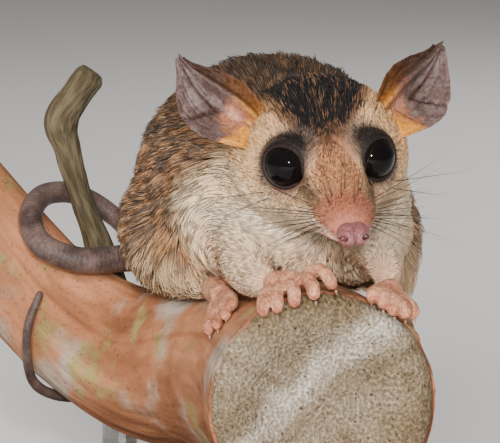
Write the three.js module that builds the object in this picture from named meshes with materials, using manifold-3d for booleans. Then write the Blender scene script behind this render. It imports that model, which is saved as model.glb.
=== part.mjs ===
// A life-size mouse opossum, crouched on a cut length of branch on a plain display stand.
// Millimetres, +Z up. The animal faces -Y. The origin is the middle of the base's underside.
import * as THREE from "three";
import { mergeVertices } from "three/addons/utils/BufferGeometryUtils.js";
import Module from "manifold-3d";

const wasm = await Module();
wasm.setup();

// Driving dimensions
const gap = 0.3;
const base = { length: 132, depth: 116, thickness: 8, corner: 16, bevel: 1.2 };
const rodRadius = 3.5;
const eyeMiddle = new THREE.Vector3(26.8, -29.5, 83.6);
const headTurn = { pitch: 14, roll: -3.8, yaw: 8 };
const eye = { radius: 4.0, aside: 6.9, ahead: 0, rise: 0.5, outward: 36, upward: 8, opening: 3.5 };
const earLength = 19;
const tailRootRadius = 3.1;
const tailTipRadius = 0.75;

const rad = THREE.MathUtils.degToRad;
const v3 = (x, y, z) => new THREE.Vector3(x, y, z);

// A closed three.js geometry becomes a solid that can be joined and cut.
function solid(geometry) {
  const bare = geometry.clone();
  bare.deleteAttribute("normal");
  bare.deleteAttribute("uv");
  const merged = mergeVertices(bare, 1e-4);
  return new wasm.Manifold(
    new wasm.Mesh({
      numProp: 3,
      vertProperties: merged.attributes.position.array,
      triVerts: new Uint32Array(merged.index.array),
    }),
  );
}

const largest = (made) => made.decompose().reduce((a, b) => (b.volume() > a.volume() ? b : a));
const joined = (pieces) => pieces.reduce((a, b) => a.add(b));

function meshOf(name, made, material) {
  const data = largest(made).getMesh();
  const geometry = new THREE.BufferGeometry();
  geometry.setAttribute("position", new THREE.BufferAttribute(data.vertProperties, 3));
  geometry.setIndex(new THREE.BufferAttribute(data.triVerts, 1));
  const mesh = new THREE.Mesh(geometry, material);
  mesh.name = name;
  return mesh;
}

// Moves each vertex of a sphere by its row, from pole to pole, and its angle round the axis.
function shapedSphere(around, rows, place) {
  const geometry = new THREE.SphereGeometry(1, around, rows);
  const position = geometry.attributes.position;
  for (let row = 0; row <= rows; row++) {
    for (let i = 0; i <= around; i++) {
      const pole = row === 0 || row === rows;
      const angle = pole ? 0 : ((i % around) / around) * 2 * Math.PI;
      const p = place(row / rows, angle);
      position.setXYZ(row * (around + 1) + i, p.x, p.y, p.z);
    }
  }
  return outward(solid(geometry), geometry);
}

// Turns a solid's faces outward where its mapping turned them round.
function outward(made, geometry) {
  if (made.volume() > 0) return made;
  const index = geometry.index.array;
  for (let i = 0; i < index.length; i += 3) [index[i + 1], index[i + 2]] = [index[i + 2], index[i + 1]];
  return solid(geometry);
}

// Reads a table of stations with smooth curves through every column; the first column is the place.
function reader(stations) {
  const at = stations.map((row) => row[0]);
  return (place) => {
    const s = THREE.MathUtils.clamp(place, at[0], at[at.length - 1]);
    let k = at.findIndex((a) => a >= s);
    k = Math.max(1, k);
    const [lo, hi] = [k - 1, k];
    const span = at[hi] - at[lo];
    const t = (s - at[lo]) / span;
    return stations[lo].slice(1).map((_, column) => {
      const value = (i) => stations[i][column + 1];
      const slope = (i) => {
        const [a, b] = [Math.max(0, i - 1), Math.min(at.length - 1, i + 1)];
        return (value(b) - value(a)) / (at[b] - at[a]);
      };
      const [t2, t3] = [t * t, t * t * t];
      return (
        (2 * t3 - 3 * t2 + 1) * value(lo) +
        (t3 - 2 * t2 + t) * span * slope(lo) +
        (3 * t2 - 2 * t3) * value(hi) +
        (t3 - t2) * span * slope(hi)
      );
    });
  };
}

// The share of full size near a rounded end.
function roundEnd(distance, cap) {
  const inside = THREE.MathUtils.clamp(distance / cap, 0, 1);
  return Math.sqrt(Math.max(0, 1 - (1 - inside) ** 2));
}

// Rows are closer together near both ends, so that they come out round.
const eased = (t, share = 0.55) => t * (1 - share) + (0.5 - 0.5 * Math.cos(Math.PI * t)) * share;

// Reads a curve's place, tangent and two cross directions, which turn with it and never flip.
function framed(curve, steps = 120) {
  const { tangents, normals, binormals } = curve.computeFrenetFrames(steps, false);
  return (share) => {
    const i = Math.round(THREE.MathUtils.clamp(share, 0, 1) * steps);
    return { middle: curve.getPointAt(share), along: tangents[i], side: normals[i], up: binormals[i] };
  };
}
const onRing = ({ middle, side, up }, r, angle) =>
  middle.clone().addScaledVector(side, r * Math.cos(angle)).addScaledVector(up, r * Math.sin(angle));

// A round bar with rounded ends along a smooth curve; radius is a function of the share along it.
function bar(points, radius, around = 10, rows = 12, grow = 0) {
  const curve = new THREE.CatmullRomCurve3(points, false, "centripetal");
  const length = curve.getLength() + 2 * grow;
  const frameAt = framed(curve);
  return shapedSphere(around, rows, (t, angle) => {
    const share = eased(t, 0.7);
    const frame = frameAt(share);
    frame.middle.addScaledVector(frame.along, grow * (2 * share - 1));
    const full = radius(share) + grow;
    return onRing(frame, full * roundEnd(Math.min(share, 1 - share) * length, full), angle);
  });
}

function ellipsoid(centre, size, around = 16, rows = 10, turn = new THREE.Euler()) {
  const geometry = new THREE.SphereGeometry(1, around, rows);
  geometry.scale(size.x, size.y, size.z);
  geometry.applyMatrix4(new THREE.Matrix4().makeRotationFromEuler(turn));
  geometry.translate(centre.x, centre.y, centre.z);
  return solid(geometry);
}

// Materials
function finish(color, roughness, metalness = 0) {
  return new THREE.MeshStandardMaterial({ color, roughness, metalness });
}
const coatBrown = finish(0x8f6a48, 0.95);
const coatCream = finish(0xdcc39a, 0.95);
const skinPink = finish(0xd69a84, 0.55);
const nosePink = finish(0xc9808a, 0.35);
const earSkin = finish(0x8d7468, 0.5);
const tailSkin = finish(0x6f5c5a, 0.6);
const eyeBlack = finish(0x0b0a0d, 0.05);
const bark = finish(0xa9805f, 0.9);
const baseWood = finish(0x3b2a1f, 0.45);
const rodSteel = finish(0x9a9a98, 0.35, 0.9);

// Branch: the cut, callused end faces the front, and the length bends away to the left behind.
const branchPath = new THREE.CatmullRomCurve3(
  [
    v3(25.9, -36.5, 43.5),
    v3(21, -9.5, 41.6),
    v3(9.5, 15.5, 37.8),
    v3(-7, 29.5, 35.8),
    v3(-24, 37.5, 44.6),
    v3(-46, 44, 69),
  ],
  false,
  "centripetal",
);
const branchRadius = reader([
  [0, 19.5],
  [0.25, 18.2],
  [0.45, 16.4],
  [0.62, 13.8],
  [0.72, 12.1],
  [0.82, 10.9],
  [1, 10.2],
]);
// Each end's profile from its middle out: share of the radius, and how far it stands out.
const callusEnd = [
  [0, -1.9],
  [0.3, -1.7],
  [0.52, -0.9],
  [0.66, 0.5],
  [0.82, 1.0],
  [0.94, 0.2],
  [1, -1.6],
];
const sawnEnd = [
  [0, 0],
  [0.5, 0.1],
  [0.96, 0],
  [1, -0.6],
];
const stubPath = [
  v3(-13.6, 37, 45),
  v3(-15.8, 38, 56.4),
  v3(-19.7, 38.4, 67.9),
  v3(-21.8, 38.6, 76),
  v3(-23, 38.6, 81.6),
  v3(-20.4, 38.6, 86),
  v3(-16.8, 38.6, 91),
];
const stubRadius = reader([
  [0, 4.4],
  [0.3, 2.4],
  [0.52, 2.3],
  [0.68, 2.7],
  [0.76, 3.5],
  [0.88, 3.1],
  [1, 3.2],
]);

// The bark isn't quite round: low swells wander along it.
const barkSwell = (share, angle) =>
  (0.4 + share) * (0.35 * Math.sin(3 * angle + 5 * share) + 0.3 * Math.sin(5 * angle - 9 * share + 1));

function branchFrame(share) {
  const middle = branchPath.getPointAt(share);
  const along = branchPath.getTangentAt(share);
  const side = v3(0, 0, 1).cross(along).normalize();
  return { middle, along, side, up: along.clone().cross(side) };
}

function branchLimb(grow = 0) {
  const [around, body] = [24, 15];
  const front = callusEnd.length;
  const rows = front + body + sawnEnd.length - 1;
  return shapedSphere(around, rows, (t, angle) => {
    const row = Math.round(t * rows);
    const share = THREE.MathUtils.clamp((row - front + 1) / (body + 1), 0, 1);
    const [wide, proud] = row < front ? callusEnd[row] : sawnEnd[rows - row] ?? [1, 0];
    const frame = branchFrame(share);
    frame.middle.addScaledVector(frame.along, (row < front ? -1 : share === 1 ? 1 : 0) * (proud + grow));
    return onRing(frame, wide * (branchRadius(share)[0] + barkSwell(share, angle) + grow), angle);
  });
}

const stub = (grow = 0) => bar(stubPath, (t) => stubRadius(t)[0], 10, 14, grow);
const clearOfBranch = branchLimb(gap).add(stub(gap));

// Head, in its own frame: x to the animal's left, -y ahead, +z up, from the middle of the eyes.
const headFrame = new THREE.Matrix4()
  .makeRotationFromEuler(new THREE.Euler(rad(headTurn.pitch), rad(headTurn.roll), rad(headTurn.yaw), "ZXY"))
  .setPosition(eyeMiddle);
const inHead = (made) => made.transform(Array.from(headFrame.elements));
const headPoint = (aside, ahead, rise) => v3(aside, -ahead, rise).applyMatrix4(headFrame);

// Stations ahead of the eyes: half width, widest level, reach up and down, sharpness of the top.
const headStations = reader([
  [-27, 13.2, -3.4, 11.6, 11.6, 1],
  [-20, 15.2, -3.4, 13.4, 12.6, 0.95],
  [-13, 15.9, -3.8, 14.0, 12.2, 0.95],
  [-7, 15.0, -4.2, 13.1, 11.0, 1.05],
  [-2, 12.4, -4.2, 11.1, 9.4, 1.25],
  [3, 9.2, -4.2, 9.2, 7.6, 1.55],
  [8, 7.1, -4.1, 7.1, 5.6, 1.45],
  [13, 5.8, -3.6, 5.2, 4.4, 1.15],
  [17, 4.6, -3.2, 3.8, 3.6, 1],
  [20.5, 3.3, -2.9, 2.6, 2.8, 1],
  [22.8, 2.2, -2.8, 1.8, 2.0, 1],
]);

function headLoft(grow = 0, around = 24, rows = 20) {
  const [back, front] = [-27 - grow, 22.8 + grow];
  return shapedSphere(around, rows, (t, angle) => {
    const s = front + (back - front) * eased(t, 0.35);
    const [half, level, up, down, sharp] = headStations(s);
    const end = Math.min(roundEnd(front - s, 2.2 + grow), roundEnd(s - back, 9 + grow));
    const [across, over] = [Math.sin(angle), Math.cos(angle)];
    const width = over > 0 ? Math.sign(across) * Math.abs(across) ** sharp : across;
    const reach = over > 0 ? up : down;
    return v3((half + grow) * end * width, -s, level + (reach + grow) * end * over);
  });
}

const gaze = (side) => {
  const [out, up] = [rad(eye.outward), rad(eye.upward)];
  return v3(side * Math.sin(out) * Math.cos(up), -Math.cos(out) * Math.cos(up), Math.sin(up));
};
const eyeCentre = (side) => v3(side * eye.aside, -eye.ahead, eye.rise);

// Turns a shape built along +z so that it points along a direction from a place.
function pointed(geometry, place, direction) {
  const turn = new THREE.Quaternion().setFromUnitVectors(v3(0, 0, 1), direction.clone().normalize());
  geometry.applyMatrix4(new THREE.Matrix4().compose(place, turn, v3(1, 1, 1)));
  return solid(geometry);
}

// The hollow that leaves the eye's opening in sight, and the two lids that stand round it.
function orbitHollow(side) {
  const rim = eye.opening;
  const profile = [v3(0, 1.4), v3(rim + 0.5, 1.4), v3(rim + 1, 2.3), v3(rim + 4.2, 8), v3(0, 8)];
  const geometry = new THREE.LatheGeometry(profile.map((p) => new THREE.Vector2(p.x, p.y)), 18);
  geometry.rotateX(Math.PI / 2);
  return pointed(geometry, eyeCentre(side), gaze(side));
}
const brow = (side) => ellipsoid(eyeCentre(side), v3(5, 5, 5), 16, 10);
function lids(side) {
  const geometry = new THREE.TorusGeometry(eye.opening + 0.45, 0.62, 6, 18);
  const place = eyeCentre(side).addScaledVector(gaze(side), 1.75);
  return pointed(geometry, place, gaze(side));
}

// Mouth line: a shallow groove round the muzzle below the nose, which drops towards the cheeks.
const mouth = { ahead: 24, back: 9.5, rise: -5.0, drop: 0.9, height: 0.6, depth: 0.9 };
function mouthGroove() {
  const geometry = new THREE.BoxGeometry(16, mouth.ahead - mouth.back, mouth.height, 1, 8, 1);
  const position = geometry.attributes.position;
  for (let i = 0; i < position.count; i++) {
    const ahead = (mouth.ahead + mouth.back) / 2 - position.getY(i);
    const share = (mouth.ahead - ahead) / (mouth.ahead - mouth.back);
    const rise = mouth.rise - mouth.drop * share ** 2 + 0.35 * Math.sin(Math.PI * share);
    position.setXYZ(i, position.getX(i), -ahead, position.getZ(i) * (1 - 0.55 * share) + rise);
  }
  return outward(solid(geometry), geometry).subtract(headLoft(-mouth.depth));
}

// Nose pad, with a nostril on each side and a groove down its middle.
const nose = { ahead: 22.3, rise: -3.0, size: v3(2.7, 2.3, 1.9) };
function nosePad(grow = 0) {
  const size = v3(nose.size.x - 0.75 + grow, nose.size.y + grow, nose.size.z + grow);
  return joined([-1, 1].map((side) => ellipsoid(v3(side * 0.75, -nose.ahead, nose.rise), size, 12, 8)));
}
function nostril(side) {
  const turn = new THREE.Euler(0, side * 0.5, side * 0.4);
  return ellipsoid(v3(side * 1.75, -nose.ahead - 1.75, nose.rise + 0.1), v3(0.75, 1.0, 0.45), 8, 6, turn);
}

// Ears: a thin cupped sheet, wide and round below and drawn out to a pinched, folded tip.
const earHalfWidth = reader([
  [0, 4.4],
  [0.14, 6.2],
  [0.34, 7.3],
  [0.55, 6.9],
  [0.72, 5.2],
  [0.84, 3.2],
  [0.93, 1.7],
  [1, 1.0],
]);
const earPose = {
  right: { side: -1, root: [-13.2, -8.6, 4.6], axis: [-0.6, -0.68, 0.46], face: [-0.2, 0.72, 0.62] },
  left: { side: 1, root: [13.4, -9.4, 4.2], axis: [0.62, -0.72, 0.36], face: [0.42, 0.72, 0.62] },
};
function ear({ side, root, axis, face }) {
  const [along, wide] = [11, 9];
  const geometry = new THREE.BoxGeometry(2, 1, 1, wide, along, 1);
  const position = geometry.attributes.position;
  const length = v3(axis[0], -axis[1], axis[2]).normalize();
  const front = v3(face[0], -face[1], face[2]);
  front.addScaledVector(length, -front.dot(length)).normalize();
  const across = length.clone().cross(front).multiplyScalar(side).normalize();
  for (let i = 0; i < position.count; i++) {
    const u = position.getY(i) + 0.5;
    const v = position.getX(i);
    const faceSide = position.getZ(i) * 2;
    const half = earHalfWidth(u)[0];
    const thick = 0.5 * (0.55 + 0.5 * (1 - u) * (1 - v * v));
    // The edges curl forward, and the tip bends over and towards the crown.
    const cup = half * (0.42 * v * v + 0.22 * Math.max(0, v) ** 3) * (1 - 0.35 * u);
    const bow = -2.2 * Math.sin(Math.PI * Math.min(1, u * 1.1)) + 2.4 * Math.max(0, u - 0.8) * 5 * (u - 0.8);
    const p = v3(root[0], -root[1], root[2])
      .addScaledVector(length, (u - 0.1) * earLength)
      .addScaledVector(across, half * v * (v < 0 ? 0.74 : 0.9) - 7.5 * Math.max(0, u - 0.6) ** 2)
      .addScaledVector(front, cup + bow + faceSide * thick);
    position.setXYZ(i, p.x, p.y, p.z);
  }
  return outward(solid(geometry), geometry);
}

// Torso, from the chest to the rump: place on the plan, half width, widest level, reach up and down.
const torsoStations = reader([
  [0, 25.6, -23.5, 12.5, 68, 12, 9],
  [0.16, 24.8, -13, 17.8, 68, 18.5, 10],
  [0.36, 22, 1, 21.4, 68.2, 25.2, 12],
  [0.56, 18, 15.5, 24.6, 68.4, 29.2, 13.5],
  [0.76, 14.2, 29, 24.6, 67.4, 27.2, 14],
  [0.9, 11.4, 39.5, 20, 66, 22, 12.5],
  [1, 9.6, 46, 15, 64.5, 17, 11],
]);
const torsoShoulder = 0.84;
const torsoLength = 72;
function torsoLoft(grow = 0) {
  return shapedSphere(26, 16, (t, angle) => {
    const share = eased(t, 0.6);
    const [x, y, half, level, up, down] = torsoStations(share);
    const ahead = torsoStations(Math.max(0, share - 0.01));
    const behind = torsoStations(Math.min(1, share + 0.01));
    const along = v3(behind[0] - ahead[0], behind[1] - ahead[1], 0).normalize();
    const side = v3(along.y, -along.x, 0);
    const end = Math.min(roundEnd(share * torsoLength, 12), roundEnd((1 - share) * torsoLength, 14));
    const [across, over] = [Math.sin(angle), Math.cos(angle)];
    const reach = over > 0 ? up : down;
    const width = Math.sign(across) * Math.abs(across) ** (over > 0 ? torsoShoulder : 1);
    return v3(x, y, level + (reach + grow) * end * over)
      .addScaledVector(side, (half + grow) * end * width)
      .addScaledVector(along, grow * (2 * share - 1));
  });
}

// Neck: a short thick bar from the back of the head into the shoulders.
const neckPath = [headPoint(0, -8, -3), v3(25.8, -10, 76), v3(24, 0, 74)];
const neckLoft = (grow = 0) => bar(neckPath, (t) => 16.4 + 2.2 * t, 22, 10, grow);

// Legs: a tapered bar through hand-set joints, thick where the coat covers it.
const limbs = {
  foreleg_right: {
    points: [[16, -7, 73], [13.4, -13.6, 67.4], [13.8, -23.6, 63.6], [17.4, -30.4, 63]],
    radii: [7.2, 6.2, 4.6, 2.2],
  },
  foreleg_left: {
    points: [[34.2, -10, 73], [35, -18, 69], [36, -26.5, 66.4], [37, -31.4, 62.6]],
    radii: [8, 6.2, 4.2, 2.2],
  },
  hindleg_right: {
    points: [[8, 29, 69], [2, 21, 64], [0.8, 9, 60.6], [6.6, -2.5, 57.6]],
    radii: [15.5, 14.5, 8.6, 3.0],
  },
  hindleg_left: {
    points: [[24, 29, 69], [33, 19, 64.5], [38, 8, 60], [38.6, -3, 55.4]],
    radii: [14.5, 14, 8.2, 3.0],
  },
};
function leg({ points, radii }, grow = 0) {
  const radius = reader(radii.map((r, i) => [i / (radii.length - 1), r]));
  return bar(points.map((p) => v3(...p)), (t) => radius(t)[0], 15, 12, grow);
}

// Hands and feet: a palm, and five digits that bend over the branch.
const paws = {
  hand_right: {
    palm: [[16.6, -30, 63.4], [19, -33, 63.8], [22, -34.6, 65]],
    palmRadius: 2.3,
    digitRadius: 1.15,
    digits: [
      [[17.2, -32.8, 63], [15.9, -36.4, 62], [15.6, -38.6, 59.2]],
      [[18.6, -33.8, 63.4], [18, -37.4, 62.8], [18, -39.4, 60]],
      [[20, -34.4, 64], [20.7, -37.6, 63.8], [20.8, -39.6, 61]],
      [[21.6, -34.8, 64.8], [23.4, -37.4, 65.2], [24.2, -39.6, 62.4]],
      [[22.4, -34.6, 65.4], [25.2, -35.8, 66.8], [27.4, -38.6, 64]],
    ],
  },
  hand_left: {
    palm: [[36.8, -31, 63], [36.8, -34, 62.2], [37, -36, 61.6]],
    palmRadius: 2.4,
    digitRadius: 1.25,
    digits: [
      [[35.8, -33.4, 62.8], [34.2, -36.2, 63.2], [33.6, -38.8, 62]],
      [[36.2, -34.4, 62.4], [35.6, -37.6, 62.8], [35.4, -39.8, 61]],
      [[36.8, -34.8, 62], [37.2, -38, 61.8], [37.2, -40, 59.8]],
      [[37.6, -34.4, 61.6], [38.8, -37.6, 61], [39, -39.6, 59.2]],
      [[38, -33.6, 61.6], [40, -36, 60.6], [40.6, -38, 59]],
    ],
  },
  foot_right: {
    palm: [[6.6, -3, 57.2], [7.8, -9.5, 57.6], [8.8, -15.4, 57.8]],
    palmRadius: 2.4,
    digitRadius: 1.15,
    digits: [
      [[8.4, -7, 58], [11, -9.6, 59.8], [13.2, -11.4, 60]],
      [[9, -13, 58.2], [10.2, -19, 58.6], [10.6, -23.6, 57.8]],
      [[8.8, -13.4, 57.8], [9.2, -19.8, 57.4], [9.4, -24.6, 56]],
      [[8.4, -13.2, 57.2], [7.8, -19.2, 55.8], [8, -23.8, 54]],
      [[8, -12.4, 56.8], [6.6, -17.4, 54.4], [6.6, -21, 52.4]],
    ],
  },
  foot_left: {
    palm: [[38.6, -3, 55], [39.6, -9.5, 53.8], [40.2, -15, 53]],
    palmRadius: 2.4,
    digitRadius: 1.15,
    digits: [
      [[38.8, -8, 55], [36.4, -11, 57.2], [34, -13, 58.6]],
      [[39.6, -12.4, 53.8], [39.2, -18.4, 55.4], [38.8, -22.6, 55.6]],
      [[40, -13, 53.4], [40.6, -19.2, 53.6], [40.8, -23.4, 53.2]],
      [[40.2, -12.6, 52.8], [41.6, -18.4, 51.4], [42, -22.4, 50.6]],
      [[40.4, -12, 52.2], [42, -16.8, 49.6], [42.4, -20.2, 48]],
    ],
  },
};
function paw({ palm, palmRadius, digitRadius, digits }) {
  const swell = (t) => 0.86 + 0.22 * Math.abs(Math.sin(Math.PI * (t * 2 + 0.1)));
  const fingers = digits.map((joints) =>
    bar(joints.map((p) => v3(...p)), (t) => digitRadius * swell(t) * (1.1 - 0.2 * t), 6, 7),
  );
  return joined([bar(palm.map((p) => v3(...p)), (t) => palmRadius * (1 - 0.12 * t), 9, 6), ...fingers]);
}

// Tail: one smooth curve from the rump, round the stub's foot, behind the branch and up its front.
const tailRun = [
  [13, 41, 60],
  [4, 40, 57.5],
  [-4, 34, 56.4],
  [-12, 28.6, 56.2],
  [-19.6, 25.2, 56.8],
  [-26.2, 26, 59.6],
  [-28.6, 30.6, 63.8],
  [-26.6, 37.4, 67],
  [-20.8, 43, 66.4],
  [-13.4, 45, 61.6],
];
// The coil round the branch: shares along it, and degrees from its front, over the top.
const tailCoil = { from: 0.58, to: 0.765, start: 150, end: 386, steps: 9, lift: 0.45 };
function coilPoints() {
  return Array.from({ length: tailCoil.steps + 1 }, (_, i) => {
    const t = i / tailCoil.steps;
    const share = THREE.MathUtils.lerp(tailCoil.from, tailCoil.to, t);
    const angle = rad(THREE.MathUtils.lerp(tailCoil.start, tailCoil.end, t));
    const thick = THREE.MathUtils.lerp(tailRadius(0.6), tailTipRadius, t);
    const r = branchRadius(share)[0] + barkSwell(share, angle) + thick + tailCoil.lift;
    return onRing(branchFrame(share), r, angle);
  });
}
const tailRadius = (share) => THREE.MathUtils.lerp(tailRootRadius, tailTipRadius, share ** 0.9);
const tailPlaces = [...tailRun.map((p) => v3(...p)), ...coilPoints()];
const tailPath = new THREE.CatmullRomCurve3(tailPlaces, false, "centripetal");
tailPath.arcLengthDivisions = 800;
const tailParts = [0, 0.2, 0.4, 0.6, 0.8, 1];
const tailFrame = framed(tailPath, 800);

// One length of the tail: flat at its ends, apart from the rounded tip.
function tailLength(index) {
  const halfGap = gap / 2 / tailPath.getLength();
  const last = index === tailParts.length - 2;
  const from = tailParts[index] + (index ? halfGap : 0);
  const to = tailParts[index + 1] - (last ? 0 : halfGap);
  const steps = 13;
  return shapedSphere(10, steps, (t, angle) => {
    const step = Math.round(t * steps);
    const share = from + ((to - from) * THREE.MathUtils.clamp(step - 1, 0, steps - 2)) / (steps - 2);
    const frame = tailFrame(share);
    if (last && step === steps) frame.middle.addScaledVector(frame.along, tailTipRadius);
    return onRing(frame, step === 0 || step === steps ? 0 : tailRadius(share), angle);
  });
}

// Stand: a flat base with rounded corners, and two short rods up to the branch.
function standBase() {
  const [w, d, c, b] = [base.length / 2 - base.bevel, base.depth / 2 - base.bevel, base.corner, base.bevel];
  const outline = new THREE.Shape();
  outline.absarc(w - c, d - c, c, 0, Math.PI / 2);
  outline.absarc(-w + c, d - c, c, Math.PI / 2, Math.PI);
  outline.absarc(-w + c, -d + c, c, Math.PI, 1.5 * Math.PI);
  outline.absarc(w - c, -d + c, c, 1.5 * Math.PI, 2 * Math.PI);
  const geometry = new THREE.ExtrudeGeometry(outline, {
    depth: base.thickness - 2 * b,
    bevelThickness: b,
    bevelSize: b,
    bevelSegments: 2,
    curveSegments: 4,
  });
  geometry.translate(0, 0, b);
  return solid(geometry);
}
const rodPlaces = { stand_rod_front: [24.6, -26], stand_rod_back: [-12, 33.2] };
function standRod([x, y]) {
  const height = 40;
  const geometry = new THREE.CylinderGeometry(rodRadius, rodRadius, height, 16);
  geometry.rotateX(Math.PI / 2);
  geometry.translate(x, y, base.thickness + gap + height / 2);
  return solid(geometry).subtract(clearOfBranch);
}

// Assembly: each node is cut clear of what it meets by the gap.
const skull = inHead(headLoft());
const skullRoom = inHead(headLoft(gap + 0.5, 16, 12));
function eyeball(side) {
  return inHead(pointed(new THREE.SphereGeometry(eye.radius, 16, 12), eyeCentre(side), gaze(side)));
}
const sides = [-1, 1];
const socketSize = v3(1, 1, 1).multiplyScalar(eye.radius + gap);
const sockets = joined(sides.map((side) => ellipsoid(eyeCentre(side), socketSize, 16, 12)));
const eyeLids = joined(sides.map((side) => lids(side)));
const hollows = joined(sides.map((side) => orbitHollow(side)));
const headSolid = skull
  .add(inHead(brow(-1)))
  .add(inHead(brow(1)))
  .subtract(inHead(hollows))
  .add(inHead(eyeLids))
  .subtract(inHead(sockets))
  .subtract(inHead(mouthGroove()))
  .subtract(inHead(nosePad(gap)));

const legRoom = joined(Object.values(limbs).map((limb) => leg(limb, gap)));
const neckSolid = neckLoft().subtract(skullRoom).subtract(legRoom);
const torsoRoom = skullRoom.add(neckLoft(gap)).add(legRoom).add(clearOfBranch);
const torsoSolid = torsoLoft().subtract(torsoRoom);
const trunkRoom = torsoLoft(gap).add(neckLoft(gap)).add(skullRoom);

const tails = tailParts.slice(1).map((_, i) => tailLength(i));
const hindRoom = leg(limbs.hindleg_right, gap).add(leg(limbs.hindleg_left, gap));
tails[0] = tails[0].subtract(torsoLoft(gap)).subtract(hindRoom);

const group = new THREE.Group();
const add = (name, made, material) => group.add(meshOf(name, made, material));

add("head", headSolid, coatCream);
add("neck", neckSolid, coatBrown);
add("torso", torsoSolid, coatBrown);
add("nose", inHead(nosePad().subtract(nostril(-1)).subtract(nostril(1))), nosePink);
add("eye_right", eyeball(-1), eyeBlack);
add("eye_left", eyeball(1), eyeBlack);
for (const [name, pose] of Object.entries(earPose)) {
  add(`ear_${name}`, inHead(ear(pose).subtract(headLoft(gap))), earSkin);
}

const pawRoom = trunkRoom.add(legRoom).add(clearOfBranch);
for (const [name, shape] of Object.entries(paws)) add(name, paw(shape).subtract(pawRoom), skinPink);
for (const [name, limb] of Object.entries(limbs)) {
  const fore = name.startsWith("foreleg");
  const upper = leg(limb).subtract(clearOfBranch);
  add(name, fore ? upper.subtract(skullRoom) : upper, fore ? coatCream : coatBrown);
}
tails.forEach((made, i) => add(`tail_${i + 1}`, made.subtract(clearOfBranch), tailSkin));
add("perch_branch", branchLimb(), bark);
add("perch_stub", stub().subtract(branchLimb(gap)), bark);
add("stand_base", standBase(), baseWood);
for (const [name, place] of Object.entries(rodPlaces)) add(name, standRod(place), rodSteel);

export default group;
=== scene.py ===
# %% [markdown]
# # A mouse opossum on its branch
#
# This lesson dresses a still, life-size model of a small opossum that crouches on a cut
# length of branch. The solids come in as a fixed frame, in metres, with +Z up, and the
# animal faces -Y. Every piece made here lies on them or takes their place.
#
# The plan is simple: first the camera and the light, then the branch and its stand, then
# one skin for the body with the coat on it, and last the eyes, ears, nose, hands and tail.

# %% The frame
import math

import bmesh
import bpy
import numpy as np
from mathutils import Matrix, Vector, kdtree


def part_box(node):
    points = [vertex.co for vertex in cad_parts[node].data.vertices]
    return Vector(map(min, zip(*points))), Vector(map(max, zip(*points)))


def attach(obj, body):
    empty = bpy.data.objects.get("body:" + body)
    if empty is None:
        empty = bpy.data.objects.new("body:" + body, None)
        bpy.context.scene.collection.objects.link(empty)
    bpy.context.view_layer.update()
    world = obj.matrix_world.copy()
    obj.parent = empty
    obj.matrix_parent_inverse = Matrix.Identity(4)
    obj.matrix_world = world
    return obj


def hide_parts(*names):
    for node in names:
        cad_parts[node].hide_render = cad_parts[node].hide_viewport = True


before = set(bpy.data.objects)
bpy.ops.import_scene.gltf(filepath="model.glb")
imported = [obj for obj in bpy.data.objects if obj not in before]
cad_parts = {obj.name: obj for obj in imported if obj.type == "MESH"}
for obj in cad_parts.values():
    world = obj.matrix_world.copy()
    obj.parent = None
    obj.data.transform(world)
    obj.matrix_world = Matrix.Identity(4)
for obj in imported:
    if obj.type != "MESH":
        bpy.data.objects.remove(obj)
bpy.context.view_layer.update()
mm = 0.001
print("nodes in the frame:", len(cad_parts))

# %% [markdown]
# ## The camera
#
# The picture looks slightly down on the face from the front, from far enough away that
# the muzzle isn't stretched. A long lens does that. The camera is placed from the middle
# of the eyes, because the eyes are what a viewer looks at first.

# %% Camera
eye_middle = Vector((26.8, -29.5, 83.6)) * mm
elevation = math.radians(10)
camera_distance = 420 * mm
eyes_right_of_centre = 13.3 * mm
eyes_above_centre = 9.75 * mm
lens_length = 181.44

view_line = Vector((0, math.cos(elevation), -math.sin(elevation)))
view_up = Vector((0, math.sin(elevation), math.cos(elevation)))
camera_data = bpy.data.cameras.new("camera")
camera_data.lens = lens_length
camera_data.sensor_width = 36
camera_data.clip_start = 0.01
camera = bpy.data.objects.new("camera", camera_data)
camera.location = (
    eye_middle
    - Vector((eyes_right_of_centre, 0, 0))
    - view_up * eyes_above_centre
    - view_line * camera_distance
)
camera.rotation_euler = view_line.to_track_quat("-Z", "Y").to_euler()
bpy.context.collection.objects.link(camera)
bpy.context.scene.camera = camera
print("camera at", tuple(round(c, 3) for c in camera.location))

# %% [markdown]
# ## Light and floor
#
# A picture of a small night animal is lit from near the lens. Here one big soft panel
# stands above the camera, a weaker one fills from the left and one from behind draws the
# edge of the coat. The panels are hidden from mirror reflections, so that the dark eyes
# show only the spark of a small bright lamp near the lens.

# %% Studio
def soft_panel(name, place, target, size, power, colour=(1, 1, 1), mirrored=False):
    light = bpy.data.lights.new(name, "AREA")
    light.shape = "DISK"
    light.size = size
    light.energy = power
    light.color = colour
    panel = bpy.data.objects.new(name, light)
    panel.location = place
    panel.rotation_euler = (Vector(target) - Vector(place)).to_track_quat("-Z", "Y").to_euler()
    panel.visible_glossy = mirrored
    bpy.context.collection.objects.link(panel)
    return panel


subject = (0.015, 0, 0.065)
soft_panel("key_panel", (-0.14, -0.74, 0.42), subject, 0.4, 13.0, (1, 0.97, 0.92))
soft_panel("fill_panel", (-0.75, -0.15, 0.3), subject, 0.5, 2.6, (0.96, 0.98, 1))
soft_panel("back_panel", (0.45, 0.6, 0.55), subject, 0.4, 3.6, (1, 0.98, 0.95))
spark_place = camera.location + Vector((0.02, 0.03, 0.035))
soft_panel("eye_spark", spark_place, eye_middle, 0.022, 1.6, mirrored=True)

world = bpy.data.worlds.new("studio_air")
world.use_nodes = True
world.node_tree.nodes["Background"].inputs["Color"].default_value = (0.9, 0.88, 0.86, 1)
world.node_tree.nodes["Background"].inputs["Strength"].default_value = 0.3
bpy.context.scene.world = world


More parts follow.
